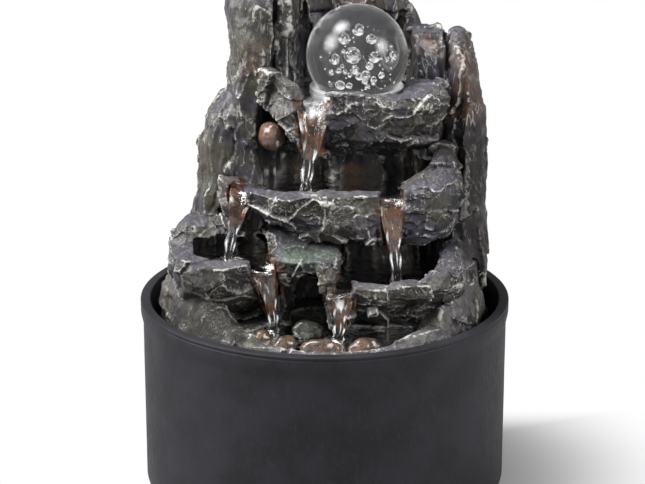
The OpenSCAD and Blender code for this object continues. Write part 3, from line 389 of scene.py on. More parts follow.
def bowl_profile():
    """The wall's section from the middle of the underside, up the outside, over the rim and
    down the inside: straight runs, a quarter round at each corner and a soft swell at the rim."""
    def arc(x, z, radius, start, end, count=14):
        turn = np.radians(np.linspace(start, end, count))
        return np.stack([x + radius * np.cos(turn), z + radius * np.sin(turn)], axis=1)

    wall = RIM_R - WALL_IN
    inner = RIM_R - RIM_WIDE
    soft = 0.8 * MM
    up = np.linspace(BOWL_UNDER + EDGE_R, RIM_TOP - 4 * MM, 110)[1:-1]
    up = np.concatenate([up, np.linspace(RIM_TOP - 4 * MM, RIM_TOP - soft, 18)[:-1]])
    swell = smooth_step((up - (RIM_TOP - 1.5 * BAND_TALL)) / (0.9 * BAND_TALL))
    groove = 0.45 * MM * np.exp(-((up - RIM_TOP + 2.2 * MM) / (0.5 * MM)) ** 2)
    outside = np.stack([wall + (RIM_R - wall) * swell - groove, up], axis=1)
    return np.concatenate([
        np.linspace((0.0, BOWL_UNDER), (wall - EDGE_R, BOWL_UNDER), 24)[:-1],
        arc(wall - EDGE_R, BOWL_UNDER + EDGE_R, EDGE_R, -90, 0),
        outside,
        arc(RIM_R - soft, RIM_TOP - soft, soft, 0, 90, 6),
        arc(inner + soft, RIM_TOP - soft, soft, 90, 180, 6),
        np.linspace((inner, RIM_TOP - 2 * soft), (inner, BOWL_FLOOR + EDGE_R), 40)[:-1],
        arc(inner - EDGE_R, BOWL_FLOOR + EDGE_R, EDGE_R, 0, -90),
        np.linspace((inner - EDGE_R, BOWL_FLOOR), (0.0, BOWL_FLOOR), 20)[1:],
    ])


def turned_bowl(count=360):
    """The profile turned about Z.  Near the back the top is lowered to the notch's floor,
    and the outside waves in and out by a few hundredths of a millimetre."""
    profile = bowl_profile()
    notch_turn = np.arcsin(NOTCH_HALF / RIM_R)
    turns = np.linspace(0.0, 2.0 * math.pi, count, endpoint=False)
    beside = np.array([0.4, 0.7, 0.9, 0.99, 1.02]) * notch_turn
    notch = math.pi / 2 + np.concatenate([-beside, [0.0], beside])
    turns = np.sort(np.concatenate([turns[np.abs(turns - math.pi / 2) > 1.1 * notch_turn], notch]))
    r, z = profile[:, :1].T, profile[:, 1:].T
    across = np.abs((turns - math.pi / 2) / notch_turn)[:, None]
    hollow = np.sqrt(np.clip(1.0 - across ** 2, 0.0, 1.0))
    notch_floor = RIM_TOP - NOTCH_DEEP + NOTCH_HALF * (1.0 - hollow)
    near_wall = r > RIM_R - 1.5 * RIM_WIDE
    z = np.where((across < 1.0) & near_wall, np.minimum(z, notch_floor), z + 0.0 * across)
    r = r + 0.0 * across
    points = np.stack([r * np.cos(turns)[:, None], r * np.sin(turns)[:, None], z], axis=-1)
    ring, deep = len(turns), profile.shape[0]
    faces = grid_faces(ring, deep, close_rows=True)
    points = points.reshape(-1, 3)
    grain = rough_noise(points * np.array([1.0, 1.0, 0.35]), 3.0 * MM, 5, 3) * GRAIN_TALL
    outward = np.concatenate([points[:, :2], np.zeros((len(points), 1))], axis=1)
    outward /= np.maximum(np.linalg.norm(outward, axis=1, keepdims=True), 1e-6)
    on_wall = (np.tile(profile[:, 0], ring) > RIM_R - 2 * RIM_WIDE)[:, None]
    points = points + outward * (grain - GRAIN_SUNK)[:, None] * on_wall
    return np.clip(points, BOWL_LOW, BOWL_HIGH), faces


def charcoal_finish():
    """Matt charcoal, mottled, with fine upright grain and paler worn scuffs."""
    f = Finish("charcoal")
    cloud = f.noise(26.0, 3.0)
    leather = f.noise(2.2, 4.0, 0.65, where=f.place((1.0, 1.0, 0.45)))
    scuff = f.range(f.noise(9.0, 5.0, 0.7, 0.6), 0.62, 0.74)
    colour = f.tones(cloud, 0.35, 0.65, (0.012, 0.012, 0.015), (0.020, 0.019, 0.024))
    colour = f.mix(f.range(leather, 0.45, 0.75) * 0.45, colour, (0.038, 0.037, 0.043))
    colour = f.mix(scuff * 0.2, colour, (0.06, 0.058, 0.066))
    rough = f.range(leather, 0.3, 0.7, 0.55, 0.72)
    return f.surface(Base_Color=colour, Roughness=rough, Specular_IOR_Level=0.22,
                     Normal=f.bump(leather, 0.20))


bowl_points, bowl_faces = turned_bowl()
bowl = add_piece("charcoal_bowl", bowl_points, bowl_faces, charcoal_finish(), "bowl_and_pump")
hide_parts("bowl")


# --- Rock sculpture ---------------------------------------------------------------------
# Castings of filled resin, bonded into one sculpture, painted slate grey and rubbed with a
# nearly dry pale brush, which catches every edge.  Rust and moss tints run over them.

BALL = np.array(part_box("crystal_ball"))
BALL_MID = BALL.mean(axis=0)
BALL_R = (BALL[1, 0] - BALL[0, 0]) / 2
BALL_GAP = 1.2 * MM


def cell_noise(points, size, seed):
    """For a random point in each lattice cube: distances to the nearest and second nearest,
    in sizes, the nearest's lattice cube and the way from it."""
    place = points / size
    base = np.floor(place).astype(np.int64)
    near = np.full(len(points), 9.0)
    second = near.copy()
    home = base.copy()
    way = np.zeros_like(place)
    for step in np.ndindex(3, 3, 3):
        cube = base + np.array(step) - 1
        spot = cube + np.stack([lattice_values(cube, seed + k) for k in range(3)], axis=1)
        far = np.linalg.norm(place - spot, axis=1)
        closer = far < near
        second = np.where(closer, near, np.minimum(second, far))
        near = np.where(closer, far, near)
        home[closer] = cube[closer]
        way[closer] = (place - spot)[closer]
    return near, second, home, way


def facets(points, size, seed):
    """Flat faces, as if split off: round each random point a plane with its own tilt and
    level, a little hollow, so the surface steps or bends sharply where two planes meet."""
    near, second, home, way = cell_noise(points, size, seed)
    tilt = np.stack([lattice_values(home, seed + 20 + k) for k in range(3)], axis=1) * 2.0 - 1.0
    level = lattice_values(home, seed + 24) - 0.5
    return (way * tilt).sum(axis=1) + 0.4 * (near ** 2 - 0.3) + 0.35 * level, second - near


class Skin:
    """Points and faces of a closed surface, with what is needed to carve and shade it."""

    def __init__(self, mesh):
        self.points = np.empty(len(mesh.vertices) * 3)
        mesh.vertices.foreach_get("co", self.points)
        self.points = self.points.reshape(-1, 3)
        self.edges = np.empty(len(mesh.edges) * 2, np.int32)
        mesh.edges.foreach_get("vertices", self.edges)
        self.edges = self.edges.reshape(-1, 2)
        self.count = np.bincount(self.edges.ravel(), minlength=len(self.points))[:, None]
        self.mesh = mesh

    def spread(self, values, times=1):
        """Each point's value goes half way to the mean of its neighbours', times over."""
        a, b = self.edges.T
        for _ in range(times):
            total = np.zeros_like(values)
            for k in range(values.shape[1]):
                total[:, k] = np.bincount(a, values[b, k], len(values))
                total[:, k] += np.bincount(b, values[a, k], len(values))
            values = 0.5 * values + 0.5 * total / self.count
        return values

    def normals(self):
        """Puts the points into the mesh and reads its normals there."""
        self.mesh.vertices.foreach_set("co", self.points.astype(np.float32).ravel())
        self.mesh.update()
        out = np.empty(len(self.points) * 3, np.float32)
        self.mesh.vertex_normals.foreach_get("vector", out)
        return out.reshape(-1, 3).astype(float)

    def height_over(self, times):
        """How far each point stands out from the surface smoothed times over."""
        gap = self.points - self.spread(self.points, times)
        return (gap * self.normals()).sum(axis=1)

    def paint(self, name, values):
        """Paints a number from 0 to 1 on each point, under a name that a finish can read."""
        layer = self.mesh.attributes.new(name, "FLOAT", "POINT")
        layer.data.foreach_set("value", np.clip(values, 0.0, 1.0).astype(np.float32))


def baked(piece):
    """A piece's mesh with its modifiers worked in."""
    ready = piece.evaluated_get(bpy.context.evaluated_depsgraph_get())
    return bpy.data.meshes.new_from_object(ready)


def rounded_copy(node, grid, rounding):
    """A copy of a node's solid as an even mesh of squares about grid wide, its corners rounded."""
    mesh = nodes[node].data.copy()
    merge_points(mesh, 0.001 * MM)
    block = set_up(node + "_block", mesh)
    remesh = block.modifiers.new("grid", "REMESH")
    remesh.mode, remesh.voxel_size = "VOXEL", grid
    even = baked(block)
    bpy.data.objects.remove(block)
    even.materials.clear()
    skin = Skin(even)
    skin.points = skin.spread(skin.points, rounding)
    return skin


def blobs(points, spots):
    """The most of some soft round patches (x, y, z, radius, weight), in millimetres."""
    total = np.zeros(len(points))
    for x, y, z, radius, weight in spots:
        far = np.linalg.norm(points - np.array([x, y, z]) * MM, axis=1) / (radius * MM)
        total = np.maximum(total, weight * np.exp(-far ** 2))
    return total


# Where each tint lies, as soft round patches (x, y, z, radius, weight), in millimetres
TINTS = {
    "rust": [
        (88, 10, 262, 16, 0.9), (84, 8, 235, 16, 0.9), (88, 6, 205, 12, 0.5), (96, 4, 150, 14, 0.7),
        (60, 22, 268, 12, 0.7), (66, 2, 226, 9, 0.9), (24, 54, 295, 14, 0.8), (0, 40, 245, 14, 0.7),
        (-46, 0, 292, 14, 0.3), (-42, 2, 262, 16, 0.5), (-76, 6, 200, 16, 0.4), (-30, -8, 205, 10, 0.6),
        (-5, -5, 196, 12, 0.8), (20, -8, 198, 14, 0.9), (44, -12, 196, 10, 0.8), (-52, -20, 190, 10, 0.9),
        (-36, -45, 145, 9, 0.8), (38, -40, 185, 9, 0.9), (9, -62, 140, 8, 0.8), (-12, -30, 116, 10, 0.7)],
    "moss": [
        (-12, -48, 162, 14, 1.0), (2, -46, 160, 9, 0.9), (-56, -68, 118, 9, 0.5), (-82, -30, 132, 9, 0.4),
        (-40, -40, 172, 12, 0.3), (-66, 0, 190, 18, 0.35), (60, -60, 124, 12, 0.3), (-70, 10, 160, 14, 0.3)],
    "olive": [
        (-62, -66, 120, 28, 1.3), (52, -24, 192, 20, 0.9), (-44, 4, 270, 34, 0.8), (-70, 4, 190, 34, 0.7),
        (-20, -18, 226, 16, 0.8), (30, -20, 228, 18, 0.4), (10, -44, 178, 12, 0.7), (-70, -56, 128, 30, 0.8),
        (84, -30, 130, 30, 0.5), (0, -76, 118, 40, 0.6), (66, -30, 180, 14, 0.5), (-40, -80, 116, 16, 0.9),
        (92, 10, 190, 40, 0.4)],
    # Dark paint and painted shade, in crevices, in recesses and on the wall behind the falls
    "dark_paint_and_shade": [
        (-76, -44, 122, 22, 0.8), (92, -5, 195, 32, 1.3), (92, -12, 155, 26, 1.3), (-60, -66, 116, 26, 1.2),
        (62, -62, 120, 34, 0.1), (-42, 4, 288, 20, 0.5), (-8, -50, 160, 12, 0.4), (74, -12, 206, 14, 0.8),
        (-30, -2, 215, 16, 0.7), (8, 10, 212, 32, 1.0), (-26, 14, 214, 26, 0.9), (60, 8, 222, 12, 0.8),
        (52, -26, 188, 16, 0.7), (-30, 8, 280, 9, 0.9), (-88, -30, 132, 16, 0.4)],
    "pale": [
        (-54, -54, 138, 18, 1.0), (40, 30, 275, 15, 1.0), (62, -66, 124, 20, 0.7), (-28, -12, 240, 20, 1.0),
        (32, -20, 232, 20, 0.9), (52, -14, 236, 14, 0.8), (12, -44, 182, 24, 1.0), (-30, -42, 190, 12, 0.6),
        (34, -72, 132, 22, 1.0), (60, -60, 140, 16, 0.8), (5, 30, 290, 24, 0.5), (-62, 0, 200, 16, 0.4),
        (84, 20, 265, 12, 0.5), (-2, -58, 145, 9, 0.5)],
}

# The rock behind the middle pool, where the upper stream splashes it wet
SPLASHED = [(-12, 10, 192, 19, 1.0), (14, 12, 193, 22, 0.9), (36, 4, 198, 14, 0.7), (-34, 2, 196, 14, 0.8)]

# Each chute's bed as a run of points (x, y, z, radius), in millimetres
CHUTES = [[(-5, 6, 237, 9), (-6, -8, 238, 9), (-7, -13, 228, 8), (-7, -15, 216, 6), (-7, -16, 208, 4)],
          [(-50, 0, 188, 7), (-51, -18, 188, 6), (-51, -27, 180, 5), (-51, -29, 170, 4)],
          [(38, -20, 188, 8), (38, -38, 187, 8), (38, -40, 176, 7), (38, -41, 160, 5)],
          [(-38, -40, 152, 8), (-35, -46, 148, 8), (-32, -46, 138, 6), (-31, -46, 124, 4)],
          [(10, -50, 142, 8), (9, -61, 141, 8), (9, -62, 132, 6), (9, -62, 120, 4)]]


def near_chutes(points, wider=1.0):
    """1 on the chutes' beds and 0 away from them: the distance to each run's straight parts,
    over the radius there times wider."""
    near = np.full(len(points), 9.0)
    for run in CHUTES:
        for start, end in zip(run[:-1], run[1:]):
            a, b = np.array(start[:3]) * MM, np.array(end[:3]) * MM
            t = np.clip((points - a) @ (b - a) / ((b - a) @ (b - a)), 0.0, 1.0)
            radius = (start[3] + (end[3] - start[3]) * t) * wider * MM
            near = np.minimum(near, np.linalg.norm(points - a - t[:, None] * (b - a), axis=1) / radius)
    return 1.0 - smooth_step((near - 0.8) / 0.4)


def creases(points, size, seed):
    """Sharp crests along the lines where a rough noise passes through nought."""
    return np.clip(1.0 - 2.6 * np.abs(rough_noise(points, size, seed, 3, 0.55)), 0.0, 1.0)


def swaying(points, size, seed, octaves):
    """Three rough noises, one for each direction, as rows of x, y and z."""
    return np.stack([rough_noise(points, size, seed + k, octaves) for k in range(3)], axis=1)


def carve(skin, lie, chip, depth, seed, crumple=1.0):
    """Turns a rounded block into split slate.  The whole surface sways a little, then it is
    moved along its normal by flat faces of two sizes, thin creases in patches and a crust.
    The chutes' beds stay smooth, and the rock keeps clear of the ball."""
    p = skin.points
    fade = smooth_step((np.linalg.norm(p - BALL_MID, axis=1) - BALL_R - 3 * MM) / (10 * MM))
    calm = near_chutes(p)
    sway = swaying(p, 24 * MM, 31, 2) * 2.6 * MM
    p = p + sway * ((0.25 + 0.75 * fade) * (1.0 - 0.8 * calm))[:, None]
    skin.points = p
    normal = skin.normals()
    warp = p + 2.2 * MM * swaying(p, 9 * MM, 51, 3)
    big, bend = facets(warp / lie, chip * MM, seed)
    small, _ = facets(warp / lie, 0.42 * chip * MM, seed + 30)
    patch = smooth_step((rough_noise(p, 15 * MM, seed + 60, 2) - 0.02) / 0.4)
    patchy = 0.25 + 0.75 * patch
    coarse = creases(warp / lie, 6.4 * MM, seed + 40)
    fine = creases(warp / (0.5 + 0.5 * lie), 3.0 * MM, seed + 80)
    crust = rough_noise(p, 1.7 * MM, seed + 90, 2) * 0.10 * MM
    flat = 1.0 - 0.75 * smooth_step((normal[:, 2] - 0.5) / 0.3)
    step = (big * depth + small * depth * 0.28) * (0.45 + 0.55 * flat)
    ridge = (coarse ** 2 * 0.75 * patchy + fine ** 2 * 0.40 * patchy) * crumple * flat
    move = skin.spread((step * MM)[:, None], 1)[:, 0] + ridge * MM + crust
    p = p + normal * (move * (0.35 + 0.65 * fade) * (1.0 - 0.9 * calm))[:, None]
    off = p - BALL_MID
    far = np.linalg.norm(off, axis=1, keepdims=True)
    nearest = BALL_R + BALL_GAP
    skin.points = np.where(far < nearest, BALL_MID + off / far * nearest, p)
    skin.points[:, 2] = np.minimum(skin.points[:, 2], cad_box[1][2])
    line = smooth_step((coarse - 0.80) / 0.16) * patchy
    line = np.maximum(line, 0.85 * smooth_step((fine - 0.76) / 0.2) * patch) * flat * crumple
    skin.crest = np.maximum(line, 0.6 * (1.0 - smooth_step(bend / 0.045)) * (0.35 + 0.65 * patch))


def ranked(values, first, last):
    """0 at the value that first per cent of all lie under, 1 at last per cent, smooth between."""
    start, end = np.percentile(values, first), np.percentile(values, last)
    return smooth_step((values - start) / (end - start))


def rub_and_tint(skin, grid, upright):
    """Paints where the dry brush catches; the dark wash in hollows, with painted shade there and on faces
    turned downward; painted light on faces turned upward; the tints, among them dark paint with painted shade
    in crevices; and 1 on rock whose grain stands upright."""
    fine = skin.height_over(int(3 * (0.6 * MM / grid) ** 2) + 2) / MM
    wide = skin.height_over(int(22 * (0.6 * MM / grid) ** 2) + 4) / MM
    p = skin.points
    nick = ranked(fine, 85, 95) * (1.0 - 0.75 * ranked(fine, 98.5, 99.7))
    rubbed = 0.20 * ranked(wide, 92, 99) + 0.60 * nick + 0.42 * skin.crest
    skin.paint("edge", rubbed * (1.0 - 0.8 * near_chutes(p, 1.6)))
    up = skin.normals()[:, 2]
    # Dark wash and painted shade: darker in hollows and on faces turned downward, under overhangs.
    skin.paint("hollow", 0.8 * ranked(wide, 30, 3) + 0.9 * smooth_step((-0.02 - up) / 0.5))
    skin.paint("top", smooth_step((up - 0.50) / 0.35))
    skin.paint("upright", np.full(len(p), upright))
    # Painted light: 1 on faces turned upward, none on upright and downward ones.
    skin.paint("lit", smooth_step((up - 0.02) / 0.45))
    soaked = np.maximum(near_chutes(p, 1.5), blobs(p, SPLASHED))
    skin.paint("wet", soaked * (0.45 + 0.9 * rough_noise(p, 5 * MM, 8, 3)))
    for seed, (name, spots) in enumerate(TINTS.items(), start=3):
        patch = blobs(p, spots) * (1.0 + 0.9 * rough_noise(p, 7 * MM, seed, 3))
        skin.paint(name, smooth_step((patch - 0.15) / 0.75))


# Each coat of paint, its darker tone first, then the single tones laid over them.  The grey of upward faces
# is painted light; the near black of crevices and recesses and the wash of hollows and undersides are dark
# paint and painted shade.
SLATE_TONES = (0.021, 0.019, 0.026), (0.050, 0.046, 0.066)
OLIVE_TONES = (0.036, 0.036, 0.024), (0.085, 0.080, 0.053)
RUST_TONES = (0.045, 0.022, 0.014), (0.105, 0.054, 0.034)
MOSS_TONES = (0.050, 0.068, 0.050), (0.115, 0.150, 0.108)
BRUSH_TONES = (0.42, 0.41, 0.40), (0.58, 0.56, 0.49)
COPPER_TONES = (0.036, 0.014, 0.007), (0.150, 0.062, 0.027)
EARTH = (0.056, 0.048, 0.027)
PAINTED_LIGHT_GREY = (0.125, 0.121, 0.120)
TOP_VIOLET = (0.061, 0.057, 0.079)
CHALK = (0.150, 0.145, 0.125)
DARK_PAINT_AND_SHADE = (0.010, 0.009, 0.009)
WASH_AND_SHADE = (0.007, 0.007, 0.008)


def slate_finish():
    """Painted slate: a mottled violet grey, tints, painted light on upward faces, a dark wash with painted
    shade in hollows and under overhangs, dark paint with painted shade in crevices and recesses, and pale
    rubbed edges broken by the brush's bristles.  The chutes' beds are glossy, copper brown and wet."""
    f = Finish("painted slate")
    edge, hollow, wet, top, lit = [f.paint(name) for name in ("edge", "hollow", "wet", "top", "lit")]
    rust, moss, olive, dark_paint_and_shade, chalky = [f.paint(name) for name in ("rust", "moss", "olive", "dark_paint_and_shade", "pale")]
    drawn = f.vector("MULTIPLY", f.place(), f.mix(f.paint("upright"), (1.0, 1.0, 1.0), (1.0, 1.0, 0.22)))
    cloud = f.noise(11.0, 4.0, 0.6)
    grit = f.noise(1.1, 3.0, 0.6)
    colour = f.tones(cloud, 0.36, 0.64, *SLATE_TONES)
    colour = f.mix(f.range(f.noise(17.0, 3.0), 0.42, 0.60) * 0.65, colour, EARTH)
    # Painted light: faces turned upward are a paler grey, in streaks.
    colour = f.mix(lit * f.range(f.noise(4.0, 5.0, 0.75, where=drawn), 0.44, 0.6), colour, PAINTED_LIGHT_GREY)
    colour = f.mix(top * 0.7, colour, TOP_VIOLET)
    colour = f.mix(olive * 0.75, colour, f.tones(grit, 0.35, 0.65, *OLIVE_TONES))
    colour = f.mix(rust * 0.85, colour, f.tones(cloud, 0.4, 0.6, *RUST_TONES))
    colour = f.mix(moss * 0.8, colour, f.tones(grit, 0.35, 0.65, *MOSS_TONES))
    # Rubbed lines: the edges of bent cells, the contours of a drawn noise, and fans on olive
    bent = f.vector("MULTIPLY_ADD", f.noise(8.0, 3.0, 0.6, out="Color"), (9.0, 9.0, 9.0), drawn)
    split = f.node("ShaderNodeTexVoronoi", {"feature": "DISTANCE_TO_EDGE"},
                   {"Vector": bent, "Scale": 1.0 / 5.5})
    web = (1.0 - f.range(split, 0.0, 0.07)) * f.range(f.noise(5.0, 3.0, 0.6), 0.49, 0.62) * 0.7
    contour = (f.noise(11.0, 3.0, 0.55, 0.8, drawn) - 0.5).math("ABSOLUTE")
    web = web.most(1.0 - f.range(contour, 0.002, 0.013))
    web = web * f.range(f.noise(13.0, 3.0), 0.48, 0.60) * (1.0 - top * 0.5) * (1.0 - wet)
    fans = (f.noise(4.0, 4.0, 0.6, 1.6) - 0.5).math("ABSOLUTE")
    web = web.most((1.0 - f.range(fans, 0.004, 0.022)) * f.range(olive, 0.55, 1.0) * top.most(0.35) * 0.75)
    bristle = f.noise(1.5, 4.0, 0.7, where=drawn)
    scratch = f.range(f.noise(1.6, 4.0, 0.7, where=f.place((1.0, 0.45, 1.0))), 0.52, 0.68) * top * 0.34
    chalked = chalky * f.range(f.noise(2.6, 4.0, 0.7, where=drawn), 0.40, 0.62) * 0.8
    colour = f.mix(chalked, colour, CHALK)
    brush = f.range(edge + bristle * 1.1 + chalky * 0.2, 0.84, 1.40) + scratch
    brush = brush.most(web * f.range(bristle, 0.2, 0.5))
    # Dark paint and painted shade in crevices and recesses.
    colour = f.mix(dark_paint_and_shade * 0.85, colour, DARK_PAINT_AND_SHADE)
    # Dark wash and painted shade in hollows and under overhangs.
    colour = f.mix(hollow * (0.85 - chalky * 0.35), colour, WASH_AND_SHADE)
    colour = f.mix(brush * (0.85 - dark_paint_and_shade * 0.5), colour, f.tones(cloud, 0.4, 0.6, *BRUSH_TONES))
    colour = f.mix(f.range(wet, 0.3, 0.9), colour, f.tones(cloud, 0.42, 0.58, *COPPER_TONES))
    rough = f.range(wet, 0.1, 0.7, dark_paint_and_shade * 0.4 + 0.42, 0.12)
    return f.surface(Base_Color=colour, Roughness=rough, Specular_IOR_Level=0.32,
                     Normal=f.bump(grit * 0.35 + web * 0.5, 0.45))


SLATE = slate_finish()
CASTING_MOST = 186000

# How the rock's grain lies: each direction drawn out by so much
UPRIGHT = np.array([1.0, 1.0, 5.0])
BROKEN = np.array([1.35, 1.35, 0.9])


def thinned(skin, name, most):
    """The surface as a piece of at most so many triangles.  Only what faces the back, where
    nothing is fine, is thinned."""
    piece = set_up(name, skin.mesh)
    count = sum(len(polygon.vertices) - 2 for polygon in skin.mesh.polygons)
    if count <= most:
        return piece
    backward = np.array([0.0, 0.95, -0.31])
    behind = np.nonzero(skin.normals() @ backward > 0.15)[0].tolist()
    piece.vertex_groups.new(name="back").add(behind, 1.0, "REPLACE")
    thin = piece.modifiers.new("thin", "DECIMATE")
    thin.ratio, thin.vertex_group, thin.vertex_group_factor = most / count, "back", 10.0
    piece.data = baked(piece)
    piece.modifiers.clear()
    piece.vertex_groups.clear()
    return piece


def on_the_rock(skin, name, most, finish, node):
    """Makes a carved skin the visible piece of a node that is fixed to the rock."""
    skin.mesh.polygons.foreach_set("use_smooth", np.ones(len(skin.mesh.polygons), bool))
    piece = thinned(skin, name, most)
    piece.data.materials.append(finish)
    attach(piece, "rock")
    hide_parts(node)
    return piece


def casting(node, name, grid, rounding, lie, chip, depth, seed, crumple=1.0):
    """One casting, carved from its solid on a grid of so many millimetres."""
    skin = rounded_copy(node, grid * MM, rounding)
    carve(skin, lie, chip, depth, seed, crumple)
    rub_and_tint(skin, grid * MM, float(lie is UPRIGHT))
    return on_the_rock(skin, name, CASTING_MOST, SLATE, node)


# Each casting's grid, times rounded, lie, width and depth of its chips, seed and crumpling
castings = [
    casting("rock_skirt", "slate_skirt", 1.6, 2, UPRIGHT, 14.0, 1.2, 18, 0.6),
    casting("rock_deck", "slate_deck", 0.88, 2, BROKEN, 20.0, 1.6, 11, 0.6),
    casting("rock_tower", "slate_tower", 0.92, 1, UPRIGHT, 13.0, 3.8, 12, 0.55),
    casting("upper_basin", "slate_upper_basin", 0.5, 3, BROKEN, 15.0, 3.2, 13),
    casting("middle_basin", "slate_middle_basin", 0.5, 3, BROKEN, 15.0, 3.2, 14),
    casting("left_basin", "slate_left_basin", 0.45, 3, BROKEN, 15.0, 3.0, 15),
    casting("right_basin", "slate_right_basin", 0.45, 3, BROKEN, 15.0, 3.0, 16),
    casting("centre_rock", "slate_centre_rock", 0.45, 3, BROKEN, 12.0, 2.4, 17),
]


# --- Stones -----------------------------------------------------------------------------
# Brown, water-worn stones, glued down in the front pool, and one wedged under the upper
# basin's horn.  They are smooth, with shallow waves, and always wet.

STONE_TONES = (0.018, 0.013, 0.007), (0.105, 0.052, 0.020)
STONE_RED = (0.135, 0.058, 0.032)
STONE_GRAIN = (0.14, 0.09, 0.045)
STONE_FLANK_SHADE = (0.022, 0.024, 0.013)
STONE_BED = 114.0 * MM
STONES_MOST = 90000


def wet_stone_finish():
    """Wet brown stone: tan crowns and olive to nearly black flanks that are partly painted shade, under a
    clear gloss.
    """
    f = Finish("wet stone")
    cloud = f.noise(6.0, 4.0, 0.6, 0.8)
    grain = f.noise(0.9, 3.0, 0.6)
    low = f.paint("low")
    colour = f.tones(cloud, 0.42, 0.60, *STONE_TONES)
    colour = f.mix(f.paint("red") * 0.85, colour, STONE_RED)
    colour = f.mix(f.range(grain, 0.50, 0.75) * 0.5, colour, STONE_GRAIN)
    # Partly painted shade: the flanks, the undersides and the stones at the back of the pool go dark olive.
    colour = f.mix(f.range(low + f.noise(3.0, 3.0, 0.6) * 0.8, 0.6, 1.2), colour, STONE_FLANK_SHADE)
    rough = f.range(cloud, 0.35, 0.65, 0.25, 0.45)
    return f.surface(Base_Color=colour, Roughness=rough, Coat_Weight=0.8, Coat_Roughness=0.08,
                     Normal=f.bump(grain + f.noise(3.4, 3.0, 0.5) * 1.6, 0.9))


def smoothed_stones():
    """The stones' solids, rounded over and over, waved by noise, and with those in the pool
    swollen a little and flattened by a quarter."""
    skin = rounded_copy("pebbles", 0.4 * MM, 26)
    p = skin.points
    waves = rough_noise(p * np.array([1.0, 1.0, 0.6]), 7.0 * MM, 71, 2) * 1.9 * MM
    in_pool = p[:, 1] < -40 * MM
    skin.points = p + skin.normals() * (waves + np.where(in_pool, 1.3, 0.2) * MM)[:, None]
    flat = STONE_BED + (skin.points[:, 2] - STONE_BED) * 0.75
    skin.points[:, 2] = np.where(in_pool & (skin.points[:, 2] > STONE_BED), flat, skin.points[:, 2])
    # Painted shade for the darker flanks: faces turned sideways and down, and the stones at the back of the
    # pool.
    up = skin.normals()[:, 2]
    shaded = np.where(in_pool & (p[:, 1] > -58 * MM), 0.9, 0.0)
    skin.paint("low", smooth_step((0.45 - up) / 0.7) * np.where(in_pool, 1.0, 0.5) + shaded)
    skin.paint("red", np.where(in_pool, 0.15, 1.0))
    on_the_rock(skin, "wet_stones", STONES_MOST, wet_stone_finish(), "pebbles")


smoothed_stones()


# --- Water ------------------------------------------------------------------------------
# Water stands in the five pools, slides down the chutes' beds and falls off their lips in
# narrow twisted ribbons.  It rides on the rock and has no solid of its own in the CAD.

def water_finish(name, ripple, height, with_foam_and_highlight):
    """Clear water, rippled by noise about ripple millimetres across, with white foam and painted highlights,
    which glow faintly, where the piece's points are painted for them."""
    f = Finish(name)
    wave = f.bump(f.noise(ripple, 3.0, 0.55, 0.8), height)
    water = f.principled(Base_Color=(0.95, 0.97, 0.98), Roughness=0.02, IOR=1.33,
                         Transmission_Weight=1.0, Normal=wave)
    if with_foam_and_highlight:
        # Foam and painted highlights: a white surface that glows faintly.
        foam_and_highlight = f.principled(Base_Color=(0.90, 0.90, 0.90), Roughness=0.15,
                            Emission_Color=(1.0, 1.0, 1.0), Emission_Strength=0.22, Normal=wave)
        torn = f.noise(1.6, 3.0, 0.7, where=f.place((1.0, 1.0, 0.5)))
        broken = f.range(f.paint("foam_and_highlight") + torn * 0.8, 0.70, 1.35)
        water = f.either(broken * 0.9, water, foam_and_highlight)
    return f.end(water)


def wet_bed_finish():
    """A chute's bed: copper brown under a clear gloss of running water."""
    f = Finish("wet bed")
    cloud = f.noise(6.0, 4.0, 0.6)
    run = f.noise(2.4, 3.0, 0.6, 0.5, f.place((1.0, 1.0, 0.35)))
    colour = f.tones(cloud, 0.42, 0.58, *COPPER_TONES)
    return f.surface(Base_Color=colour, Roughness=0.14, Coat_Weight=1.0, Coat_Roughness=0.05,
                     Normal=f.bump(run, 0.8))


STILL = water_finish("pool water", 7.0, 1.0, False)
RUNNING = water_finish("running water", 2.6, 0.6, True)
WET_BED = wet_bed_finish()
SHORE_LAP = 0.9 * MM
POOL_DEEP = 2.0 * MM
RIPPLE_LONG = 3.4 * MM

rock_view = bpy.context.evaluated_depsgraph_get()
rock_trees = [BVHTree.FromObject(piece, rock_view) for piece in castings]


def shore_radii(middle, turns, reach):
    """How far the rock is from a pool's middle in each direction, level with the water."""
    radii = []
    for turn in turns:
        way = Vector((math.cos(turn), math.sin(turn), 0.0))
        hits = [tree.ray_cast(Vector(middle), way, reach) for tree in rock_trees]
        radii.append(min([hit[3] for hit in hits if hit[0] is not None], default=reach))
    return np.array(radii)


